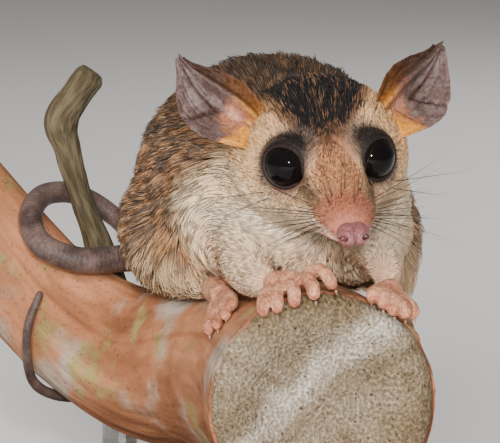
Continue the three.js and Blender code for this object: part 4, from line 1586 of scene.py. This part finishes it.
# %% Nose
nose_pad = melted("nose_pad", ["nose"], 0.05 * mm, 0.12 * mm, 5)
nose_points = points_of(nose_pad.data)
nose_normals = normals_of(nose_pad.data)
nose_local = to_head(nose_points)
pebbles = 0.045 * soft_noise(nose_points / mm, 0.42, 51) + 0.03 * soft_noise(nose_points / mm, 0.9, 52)
philtrum = -0.3 * bump_at(nose_local[:, 0], 0, 0.16) * smooth_step(21.8, 23.4, nose_local[:, 1])
nostril_depth = np.zeros(len(nose_points))
for side in (-1, 1):
    from_pit = (nose_local - np.array((side * 1.75, 24.0, -2.9))) / np.array((0.75, 0.9, 0.45))
    from_slit = (nose_local - np.array((side * 2.35, 23.4, -3.15))) / np.array((0.7, 0.9, 0.25))
    pit, slit = np.linalg.norm(from_pit, axis=1), np.linalg.norm(from_slit, axis=1)
    nostril_depth = np.maximum(nostril_depth, 1 - smooth_step(0.5, 1.15, np.minimum(pit, slit)))
nose_relief = pebbles + philtrum - 0.3 * nostril_depth
set_points(nose_pad.data, nose_points + nose_normals * nose_relief[:, None] * mm)
store(nose_pad, "nostril", nostril_depth)

nose_material, nose_tree, nose_shader = new_material("nose_moist")
nose_place = object_place(nose_tree)
nose_grain = add_mottle(nose_tree, nose_place, 1900, (0.115, 0.036, 0.04), (0.195, 0.07, 0.07), 0.3, 0.7)
# The nostrils are coloured near-black: painted shade inside the openings.
painted_nostril_shade = add_attribute(nose_tree, "nostril", "Fac")
nose_colour = add_mix(nose_tree, nose_grain["Colour"], (0.05, 0.012, 0.014), painted_nostril_shade)
set_finish(
    nose_tree, nose_shader, nose_colour, Roughness=0.36, Coat_Weight=0.35, Coat_Roughness=0.2,
    Subsurface_Weight=0.1, Subsurface_Radius=(0.0015, 0.0005, 0.0003), Subsurface_Scale=1.0
)
nose_cells = nose_tree.nodes.new("ShaderNodeTexVoronoi")
nose_cells.inputs["Scale"].default_value = 4200
nose_tree.links.new(nose_place, nose_cells.inputs["Vector"])
add_bump(nose_tree, nose_shader, nose_cells.outputs["Distance"], 0.35, 0.00012)
nose_pad.data.materials.append(nose_material)
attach(nose_pad, "root")
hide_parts("nose")


# %% Lips
def on_skin(points, lift):
    """Places and normals on the skin nearest to some points in millimetres."""
    near = nearest_on_skin(points)
    normal = skin_normals[near]
    flat = points - normal * np.sum((points - skin_mm[near]) * normal, axis=1, keepdims=True)
    return flat + normal * lift, normal


def swept(name, path, radius, around=10):
    """A round bar along points in millimetres, with closed ends."""
    along = unit(np.gradient(path, axis=0))
    side = np.empty_like(along)
    side[0] = unit(np.cross(along[0], (0.02, 0.01, 1.0)))
    for i in range(1, len(along)):
        side[i] = unit(side[i - 1] - along[i] * np.dot(side[i - 1], along[i]))
    up = np.cross(along, side)
    angle = np.linspace(0, 2 * np.pi, around, endpoint=False)
    ring = side[:, None] * np.cos(angle)[None, :, None] + up[:, None] * np.sin(angle)[None, :, None]
    return grid_mesh(name, (path[:, None] + ring * np.asarray(radius)[:, None, None]) * mm)


def mouth_line(offset):
    share = np.concatenate([np.linspace(1, 0.1, 40), np.full(6, 0.1), np.linspace(0.1, 1, 40)])
    side = np.concatenate([np.full(40, -1.0), np.linspace(-1, 1, 8)[1:-1], np.full(40, 1.0)])
    ahead = 23.2 - share * 13.5
    rise = -5.2 - 0.9 * share**2 + 0.35 * np.sin(np.pi * share) + offset
    aside = side * (1.2 + 4.6 * smooth_step(0.05, 0.9, share))
    world = np.array([from_head(a, h, r) for a, h, r in zip(aside, ahead, rise)]) / mm
    placed, _ = on_skin(world, 0.0)
    for _ in range(6):
        placed[1:-1] = (placed[:-2] + 2 * placed[1:-1] + placed[2:]) / 4
    return placed


lip_material, lip_tree, lip_shader = new_material("lip_skin")
lip_grain = add_mottle(lip_tree, object_place(lip_tree), 2600, (0.33, 0.13, 0.10), (0.55, 0.26, 0.19))
lip_tree.links.new(lip_grain["Colour"], lip_shader.inputs["Base Color"])
lip_shader.inputs["Roughness"].default_value = 0.38
add_bump(lip_tree, lip_shader, lip_grain["Height"], 0.4, 0.0001)
for name, offset, thick in (("upper_lip", 0.27, 0.34), ("lower_lip", -0.27, 0.3)):
    line = mouth_line(offset)
    share = np.abs(np.linspace(-1, 1, len(line)))
    lip = swept(name, line, thick * (1 - 0.75 * share**3))
    lip.data.materials.append(lip_material)
    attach(lip, "root")
    print(name, "spans", round(float(np.ptp(line[:, 0])), 1), "mm")

# %% [markdown]
# ## Whiskers and bristles
#
# Whiskers spring from the sides of the muzzle, dark at the root and pale at the tip, and
# some long dark bristles rise from the bridge and the brows. They follow a path and
# repeat, so Geometry Nodes thicken their lines into tapered hairs: one tree serves all.

# %% Tree that thickens lines
def build_hair_tree(material):
    tree = bpy.data.node_groups.new("thicken_lines", "GeometryNodeTree")
    tree.interface.new_socket("Lines", in_out="INPUT", socket_type="NodeSocketGeometry")
    thick = tree.interface.new_socket("Thickness", in_out="INPUT", socket_type="NodeSocketFloat")
    sides = tree.interface.new_socket("Sides", in_out="INPUT", socket_type="NodeSocketInt")
    tree.interface.new_socket("Hairs", in_out="OUTPUT", socket_type="NodeSocketGeometry")
    finish_socket = tree.interface.new_socket("Material", in_out="INPUT", socket_type="NodeSocketMaterial")
    finish_socket.default_value = material
    thick.default_value = 1.0
    sides.default_value = 6
    given, result = tree.nodes.new("NodeGroupInput"), tree.nodes.new("NodeGroupOutput")
    to_curve = tree.nodes.new("GeometryNodeMeshToCurve")
    named = tree.nodes.new("GeometryNodeInputNamedAttribute")
    named.data_type = "FLOAT"
    named.inputs["Name"].default_value = "hair_radius"
    scaled = tree.nodes.new("ShaderNodeMath")
    scaled.operation = "MULTIPLY"
    set_radius = tree.nodes.new("GeometryNodeSetCurveRadius")
    ring = tree.nodes.new("GeometryNodeCurvePrimitiveCircle")
    ring.inputs["Radius"].default_value = 1.0
    sweep = tree.nodes.new("GeometryNodeCurveToMesh")
    sweep.inputs["Fill Caps"].default_value = True
    smooth = tree.nodes.new("GeometryNodeSetShadeSmooth")
    realize = tree.nodes.new("GeometryNodeRealizeInstances")
    finish = tree.nodes.new("GeometryNodeSetMaterial")
    link = tree.links.new
    link(given.outputs["Lines"], to_curve.inputs["Mesh"])
    link(named.outputs["Attribute"], scaled.inputs[0])
    link(given.outputs["Thickness"], scaled.inputs[1])
    link(to_curve.outputs["Curve"], set_radius.inputs["Curve"])
    link(scaled.outputs["Value"], set_radius.inputs["Radius"])
    link(given.outputs["Sides"], ring.inputs["Resolution"])
    link(set_radius.outputs["Curve"], sweep.inputs["Curve"])
    link(ring.outputs["Curve"], sweep.inputs["Profile Curve"])
    if "Scale" in sweep.inputs:
        link(scaled.outputs["Value"], sweep.inputs["Scale"])
    link(sweep.outputs["Mesh"], smooth.inputs["Geometry"])
    link(smooth.outputs["Geometry"], realize.inputs["Geometry"])
    link(realize.outputs["Geometry"], finish.inputs["Geometry"])
    link(given.outputs["Material"], finish.inputs["Material"])
    link(finish.outputs["Geometry"], result.inputs["Hairs"])
    return tree, thick.identifier, sides.identifier, finish_socket.identifier


def horn_material(name, turns_pale, dark, pale):
    """Hair horn that turns from dark to pale past a share of its length."""
    material, tree, shader = new_material(name)
    along = add_attribute(tree, "hair_along", "Fac")
    paleness = add_ramp(tree, along, turns_pale, turns_pale + 0.4)
    grain = add_mottle(tree, object_place(tree), 700, tuple(0.55 * c for c in pale), pale)
    colour = add_mix(tree, dark, grain["Colour"], paleness)
    set_finish(tree, shader, colour, Roughness=0.45, Specular_IOR_Level=0.2)
    return material


whisker_material = horn_material("whisker_horn", 0.5, (0.010, 0.006, 0.005), (0.4, 0.33, 0.26))
bristle_material = horn_material("bristle_horn", 0.6, (0.012, 0.007, 0.005), (0.06, 0.035, 0.022))
hair_tree, thickness_socket, sides_socket, finish_input = build_hair_tree(whisker_material)


def grown_lines(name, roots, directions, lengths, radius, droop, material, thickness=1.0, sides=5):
    """Curved hairs from root points, as one mesh. Lengths and radii are in millimetres."""
    steps = 12
    t = np.linspace(0, 1, steps)[:, None]
    points, edges, radii, along = [], [], [], []
    for root, direction, length, thick, fall in zip(roots, directions, lengths, radius, droop):
        start = len(points)
        path = root + unit(direction) * length * (t - 0.04) + fall * length * t**2
        points.extend(path * mm)
        edges.extend((start + i, start + i + 1) for i in range(steps - 1))
        radii.extend((thick * (1 - 0.88 * t[:, 0] ** 1.2)) * mm)
        along.extend(t[:, 0])
    mesh = bpy.data.meshes.new(name)
    mesh.from_pydata([tuple(p) for p in points], edges, [])
    piece = link_piece(name, mesh)
    store(piece, "hair_radius", np.array(radii))
    store(piece, "hair_along", np.array(along))
    modifier = piece.modifiers.new("thicken", "NODES")
    modifier.node_group = hair_tree
    modifier[thickness_socket] = thickness
    modifier[sides_socket] = sides
    modifier[finish_input] = material
    bake_modifiers(piece)
    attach(piece, "root")
    print(name, "hairs:", len(roots), "faces:", len(piece.data.polygons))
    return piece


# %% Whiskers
chance = np.random.default_rng(61)
roots, directions, lengths, radius, droop = [], [], [], [], []
for side in (-1, 1):
    for row, (rise, back) in enumerate(((-1.6, 11.6), (-2.7, 12.8), (-3.7, 13.8), (-4.5, 14.8))):
        for column in range(5):
            ahead = back + column * 1.25
            guess = np.array(from_head(side * 6.0, ahead, rise)) / mm
            root, normal = on_skin(guess[None], -0.1)
            spread = chance.normal(0, 0.05, 3)
            forward, upward = -0.3 + 0.16 * column + spread[1], 0.32 - 0.26 * row + spread[2]
            lean = head_direction(side * (1.0 + spread[0]), forward, upward)
            roots.append(root[0])
            directions.append(np.array(lean))
            lengths.append((19.0 - 2.2 * column) * (0.75 + 0.4 * chance.random()))
            radius.append(0.07 - 0.005 * column)
            droop.append(np.array((0, 0.06, 0.10 - 0.07 * row)) + chance.normal(0, 0.035, 3))
grown_lines("whiskers", roots, directions, lengths, radius, droop, whisker_material)

# %% Bridge bristles, brow hairs and long cheek hairs
roots, directions, lengths, radius, droop = [], [], [], [], []
bristles = (
    (-3.2, 16.5, 0.4, -0.35, -0.25, 1.0, 8.5),
    (-2.4, 15.0, 1.0, -0.15, -0.35, 1.0, 7.5),
    (-0.9, 16.0, 1.6, 0.05, -0.5, 1.0, 7.5),
    (0.2, 14.0, 2.0, 0.25, -0.4, 1.0, 6.0),
    (2.4, 15.5, 1.0, 0.12, -0.35, 1.0, 12.5),
    (3.0, 13.5, 0.6, 0.3, -0.5, 1.0, 9.0),
    (-3.8, 12.5, 0.4, -0.6, -0.4, 1.0, 6.0),
    (1.3, 17.5, 1.0, 0.1, -0.3, 1.0, 5.5),
    (-6.4, 1.0, 6.0, -0.4, -0.2, 1.0, 9.0),
    (-5.4, 1.6, 6.2, -0.1, -0.1, 1.0, 10.0),
    (6.2, 1.0, 6.0, 0.4, -0.2, 1.0, 9.0),
    (5.2, 1.6, 6.2, 0.1, -0.1, 1.0, 10.0),
    (-12.0, 1.0, -6.0, -1.0, -0.2, -0.35, 12.0),
    (-12.5, 0.0, -5.0, -1.0, -0.3, -0.15, 13.0),
    (12.0, 1.0, -6.0, 1.0, -0.2, -0.35, 12.0),
    (12.5, 0.0, -5.0, 1.0, -0.3, -0.1, 14.0),
)
for aside, ahead, rise, x, y, z, length in bristles:
    guess = np.array(from_head(aside, ahead, rise)) / mm
    root, _ = on_skin(guess[None], -0.1)
    roots.append(root[0])
    directions.append(np.array(head_direction(x, y, z)))
    lengths.append(length)
    radius.append(0.075)
    droop.append(chance.normal(0, 0.08, 3))
grown_lines("face_bristles", roots, directions, lengths, radius, droop, bristle_material)

# %% [markdown]
# ## Hands and feet
#
# The hands and feet are bare and pink, with bulbous finger pads and tiny claws. They grip
# the edge of the branch just as the solids do. Each is melted from its solid, creased
# across the joints by noise that is squeezed along the fingers, and given small claws.

# %% Hands and feet
digits = {
    "hand_right": (
        ((15.9, -36.4, 62), (15.6, -38.6, 59.2)),
        ((18, -37.4, 62.8), (18, -39.4, 60)),
        ((20.7, -37.6, 63.8), (20.8, -39.6, 61)),
        ((23.4, -37.4, 65.2), (24.2, -39.6, 62.4)),
        ((25.2, -35.8, 66.8), (27.4, -38.6, 64)),
    ),
    "hand_left": (
        ((34.2, -36.2, 63.2), (33.6, -38.8, 62)),
        ((35.6, -37.6, 62.8), (35.4, -39.8, 61)),
        ((37.2, -38, 61.8), (37.2, -40, 59.8)),
        ((38.8, -37.6, 61), (39, -39.6, 59.2)),
        ((40, -36, 60.6), (40.6, -38, 59)),
    ),
    "foot_right": (
        ((11, -9.6, 59.8), (13.2, -11.4, 60)),
        ((10.2, -19, 58.6), (10.6, -23.6, 57.8)),
        ((9.2, -19.8, 57.4), (9.4, -24.6, 56)),
        ((7.8, -19.2, 55.8), (8, -23.8, 54)),
        ((6.6, -17.4, 54.4), (6.6, -21, 52.4)),
    ),
    "foot_left": (
        ((36.4, -11, 57.2), (34, -13, 58.6)),
        ((39.2, -18.4, 55.4), (38.8, -22.6, 55.6)),
        ((40.6, -19.2, 53.6), (40.8, -23.4, 53.2)),
        ((41.6, -18.4, 51.4), (42, -22.4, 50.6)),
        ((42, -16.8, 49.6), (42.4, -20.2, 48)),
    ),
}
claw_length = 0.5


def build_claws(name, tips):
    rings = []
    for before, tip in tips:
        before, tip = np.array(before, dtype=float), np.array(tip, dtype=float)
        aim = unit(unit(tip - before) + np.array((0, -0.35, 0.1)))
        t = np.linspace(0, 1, 9)[:, None]
        path = tip + aim * (0.5 + claw_length * t) + np.array((0, 0.1, -0.4)) * t**2
        rings.append(swept("claw", path, 0.26 * (1 - t[:, 0]) ** 0.7 + 0.02, 8))
    made = bmesh.new()
    for piece in rings:
        made.from_mesh(piece.data)
        bpy.data.objects.remove(piece)
    mesh = bpy.data.meshes.new(name)
    made.to_mesh(mesh)
    made.free()
    return link_piece(name, mesh)


paw_material, paw_tree, paw_shader = new_material("paw_skin")
paw_place = object_place(paw_tree)
paw_patches = add_mottle(paw_tree, paw_place, 420, (0.29, 0.115, 0.066), (0.51, 0.27, 0.165), 0.3, 0.7)
# The crease noise darkens the colour where it also sinks the bump: painted shade in the creases.
paw_creases_and_shade = add_mottle(paw_tree, paw_place, 2600, (0.72, 0.62, 0.58), (1.08, 1.06, 1.04), 0.35, 0.6)
paw_mark_and_shade = add_attribute(paw_tree, "marking_and_shade", "Color")
paw_colour = multiply(paw_tree, paw_patches["Colour"], paw_creases_and_shade["Colour"])
paw_colour = multiply(paw_tree, paw_colour, paw_mark_and_shade)
set_finish(
    paw_tree, paw_shader, paw_colour, Roughness=0.42, Subsurface_Weight=0.12,
    Subsurface_Radius=(0.0015, 0.0005, 0.0003), Subsurface_Scale=1.0
)
add_bump(paw_tree, paw_shader, paw_creases_and_shade["Height"], 0.6, 0.00015)

claw_material, claw_tree, claw_shader = new_material("claw_horn")
claw_grain = add_mottle(claw_tree, object_place(claw_tree), 1800, (0.12, 0.06, 0.04), (0.26, 0.15, 0.10))
claw_tree.links.new(claw_grain["Colour"], claw_shader.inputs["Base Color"])
claw_shader.inputs["Roughness"].default_value = 0.3

for node, tips in digits.items():
    paw = melted(f"skin_of_{node}", [node], 0.12 * mm, 0.2 * mm, 5)
    place = points_of(paw.data)
    local = place / mm
    folds = 0.07 * np.minimum(soft_noise(local * np.array((0.6, 1.6, 1)), 0.8, 71), 0)
    folds = folds + 0.05 * soft_noise(local, 0.5, 72)
    set_points(paw.data, place + normals_of(paw.data) * folds[:, None] * mm)
    tip_points = np.array([tip for _, tip in tips])
    to_tip = np.min(np.linalg.norm(local[:, None] - tip_points[None], axis=2), axis=1)
    near_tip = 0.7 * smooth_step(1.9, 0.6, to_tip)
    blush_and_fold_shade = blend_to(np.ones((len(local), 3)), np.array((1.12, 0.86, 0.8)), near_tip)
    # Darker where the folds sink in: painted shade in the creases.
    painted_fold_shade = smooth_step(0.0, -0.08, folds)
    blush_and_fold_shade = blend_to(blush_and_fold_shade, np.array((0.55, 0.36, 0.3)), 0.5 * painted_fold_shade)
    store_colour(paw, blush_and_fold_shade)
    paw.data.materials.append(paw_material)
    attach(paw, "root")
    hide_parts(node)
    claws = build_claws(f"claws_of_{node}", tips)
    claws.data.materials.append(claw_material)
    claws.data.polygons.foreach_set("use_smooth", [True] * len(claws.data.polygons))
    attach(claws, "root")

# %% [markdown]
# ## Finishes of the tail, the branch and the stand
#
# The tail is grey-mauve skin, and the gaps between its scale rings are painted darker as
# shade. The bark is smooth and orange-brown, with grey and olive weathering that runs along
# the branch, and its cut face is a rough grey-tan with a pale band across it and a dark line
# at its rim. Hollows in the bark and cracks in the cut face are painted darker as shade. The
# stand is plain: dark wood and satin steel.

# %% Tail finish
tail_material, tail_tree, tail_shader = new_material("tail_scaly_skin")
tail_place = add_attribute(tail_tree, "straight_place", "Vector")
tail_patches = add_mottle(
    tail_tree, tail_place, 240, (0.038, 0.024, 0.021), (0.115, 0.076, 0.067), 0.3, 0.7
)
tail_fine = add_mottle(tail_tree, tail_place, 2800, (0.8, 0.8, 0.8), (1.15, 1.12, 1.1))
ring_edge = add_ramp(tail_tree, add_attribute(tail_tree, "scale_rings", "Fac"), 0.0, 0.45)
tail_colour = multiply(tail_tree, tail_patches["Colour"], tail_fine["Colour"])
# The gaps between scale rings, where the surface sinks, are darkened: painted shade.
ring_groove_shade = add_mix(tail_tree, (0.55, 0.52, 0.5), (1, 1, 1), ring_edge)
tail_colour = multiply(tail_tree, tail_colour, ring_groove_shade)
set_finish(tail_tree, tail_shader, tail_colour, Roughness=0.45)
add_bump(tail_tree, tail_shader, tail_fine["Height"], 0.4, 0.0001)
tail.data.materials.append(tail_material)
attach(tail, "root")
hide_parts("tail_1", "tail_2", "tail_3", "tail_4", "tail_5")

# %% Bark finish
def stretched_place(tree, stretch):
    return scaled_place(tree, add_attribute(tree, "straight_place", "Vector"), stretch)


bark_material, bark_tree, bark_shader = new_material("bark_and_cut")
bark_run = stretched_place(bark_tree, (0.22, 1, 1))
bark_round = stretched_place(bark_tree, (1, 1, 1))
bark_wide = add_mottle(bark_tree, bark_run, 90, (0.20, 0.078, 0.035), (0.40, 0.172, 0.085), 0.3, 0.7)
bark_grey = add_mottle(bark_tree, bark_round, 60, (0, 0, 0), (1, 1, 1), 0.52, 0.68)
bark_olive = add_mottle(bark_tree, bark_round, 110, (0, 0, 0), (1, 1, 1), 0.56, 0.7)
bark_streak = add_mottle(bark_tree, bark_run, 420, (0.8, 0.76, 0.72), (1.1, 1.08, 1.06), 0.3, 0.7)
bark_speck = add_mottle(bark_tree, bark_round, 1500, (0.68, 0.62, 0.58), (1.06, 1.06, 1.06), 0.26, 0.42)
bark_colour = add_mix(bark_tree, bark_wide["Colour"], (0.33, 0.27, 0.22), bark_grey["Height"])
bark_colour = add_mix(bark_tree, bark_colour, (0.23, 0.19, 0.07), bark_olive["Height"])
bark_colour = multiply(bark_tree, bark_colour, bark_streak["Colour"])
bark_colour = multiply(bark_tree, bark_colour, bark_speck["Colour"])

cut_wide = add_mottle(bark_tree, bark_round, 75, (0.145, 0.104, 0.058), (0.235, 0.19, 0.135), 0.35, 0.65)
cut_fine = add_mottle(bark_tree, bark_round, 1700, (0.5, 0.45, 0.38), (1.28, 1.26, 1.22), 0.3, 0.7, 9.0)
cut_speck = add_mottle(bark_tree, bark_round, 1500, (0.25, 0.2, 0.15), (1.05, 1.05, 1.05), 0.32, 0.39)
band_mask = add_attribute(bark_tree, "pale_band", "Fac")
cut_colour = add_mix(bark_tree, cut_wide["Colour"], (0.42, 0.39, 0.34), band_mask)
cut_colour = multiply(bark_tree, cut_colour, cut_fine["Colour"])
cut_colour = multiply(bark_tree, cut_colour, cut_speck["Colour"])
face_mask = add_attribute(bark_tree, "cut_face", "Fac")
rim_noise = add_mottle(bark_tree, bark_round, 420, (0, 0, 0), (1, 1, 1), 0.4, 0.6)
rim_sum = add_sum(bark_tree, "MULTIPLY_ADD", rim_noise["Height"], 0.25, face_mask)
rim_edge = add_ramp(bark_tree, rim_sum, 0.27, 0.42, smooth=True)
whole_colour = add_mix(bark_tree, bark_colour, cut_colour, rim_edge)
rim_line = add_sum(bark_tree, "PINGPONG", rim_edge, 0.5, clamp=True)
whole_colour = add_mix(bark_tree, whole_colour, (0.02, 0.004, 0.002), rim_line)
# Bark hollows and cut-face cracks are darkened: painted shade in the hollows.
hollow_shade_edge = add_ramp(bark_tree, add_attribute(bark_tree, "hollows", "Fac"), -0.4, 0.1)
painted_hollow_shade = add_mix(bark_tree, (0.62, 0.55, 0.48), (1, 1, 1), hollow_shade_edge)
whole_colour = multiply(bark_tree, whole_colour, painted_hollow_shade)
set_finish(bark_tree, bark_shader, whole_colour, Roughness=0.85)
bark_height = add_mix(
    bark_tree, bark_streak["Colour"], cut_fine["Colour"], rim_edge
)
bark_height = add_mix(bark_tree, bark_height, bark_speck["Colour"], 0.35)
add_bump(bark_tree, bark_shader, bark_height, 0.9, 0.0007)
branch.data.materials.append(bark_material)
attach(branch, "root")
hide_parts("perch_branch")

twig_material, twig_tree, twig_shader = new_material("dead_twig")
twig_run = stretched_place(twig_tree, (0.2, 1, 1))
twig_wide = add_mottle(twig_tree, twig_run, 160, (0.032, 0.024, 0.013), (0.088, 0.07, 0.04), 0.3, 0.7)
twig_fine = add_mottle(twig_tree, twig_run, 1100, (0.55, 0.5, 0.42), (1.2, 1.18, 1.12), 0.3, 0.7)
twig_colour = multiply(twig_tree, twig_wide["Colour"], twig_fine["Colour"])
set_finish(twig_tree, twig_shader, twig_colour, Roughness=0.8)
add_bump(twig_tree, twig_shader, twig_fine["Colour"], 0.9, 0.0005)
stub.data.materials.append(twig_material)
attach(stub, "root")
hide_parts("perch_stub")

# %% Stand finishes
wood_material, wood_tree, wood_shader = new_material("dark_wood")
wood_place = scaled_place(wood_tree, object_place(wood_tree), (0.12, 1.6, 1))
wood_dark, wood_light = (0.028, 0.014, 0.008), (0.095, 0.05, 0.028)
wood_grain = add_mottle(
    wood_tree, wood_place, 420, wood_dark, wood_light, 0.3, 0.7, 8.0
)
wood_bands = wood_tree.nodes.new("ShaderNodeTexWave")
wood_bands.inputs["Scale"].default_value = 60
wood_bands.inputs["Distortion"].default_value = 6
wood_bands.bands_direction = "Y"
wood_tree.links.new(wood_place, wood_bands.inputs["Vector"])
wood_colour = add_mix(wood_tree, wood_grain["Colour"], (0.045, 0.022, 0.012), wood_bands.outputs["Fac"])
set_finish(
    wood_tree, wood_shader, wood_colour, Roughness=0.42, Coat_Weight=0.25, Coat_Roughness=0.25
)
add_bump(wood_tree, wood_shader, wood_grain["Height"], 0.25, 0.0001)

steel_material, steel_tree, steel_shader = new_material("satin_steel")
steel_place = scaled_place(steel_tree, object_place(steel_tree), (1, 1, 40))
steel_dark, steel_light = (0.46, 0.46, 0.45), (0.62, 0.62, 0.61)
steel_lines = add_mottle(
    steel_tree, steel_place, 160, steel_dark, steel_light, 0.3, 0.7
)
steel_tree.links.new(steel_lines["Colour"], steel_shader.inputs["Base Color"])
steel_shader.inputs["Metallic"].default_value = 1.0
steel_shader.inputs["Roughness"].default_value = 0.34
add_bump(steel_tree, steel_shader, steel_lines["Height"], 0.15, 0.00005)

stand_finishes = {
    "stand_base": wood_material,
    "stand_rod_front": steel_material,
    "stand_rod_back": steel_material,
}
for node, material in stand_finishes.items():
    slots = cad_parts[node].data.materials
    if len(slots):
        slots[0] = material
    else:
        slots.append(material)
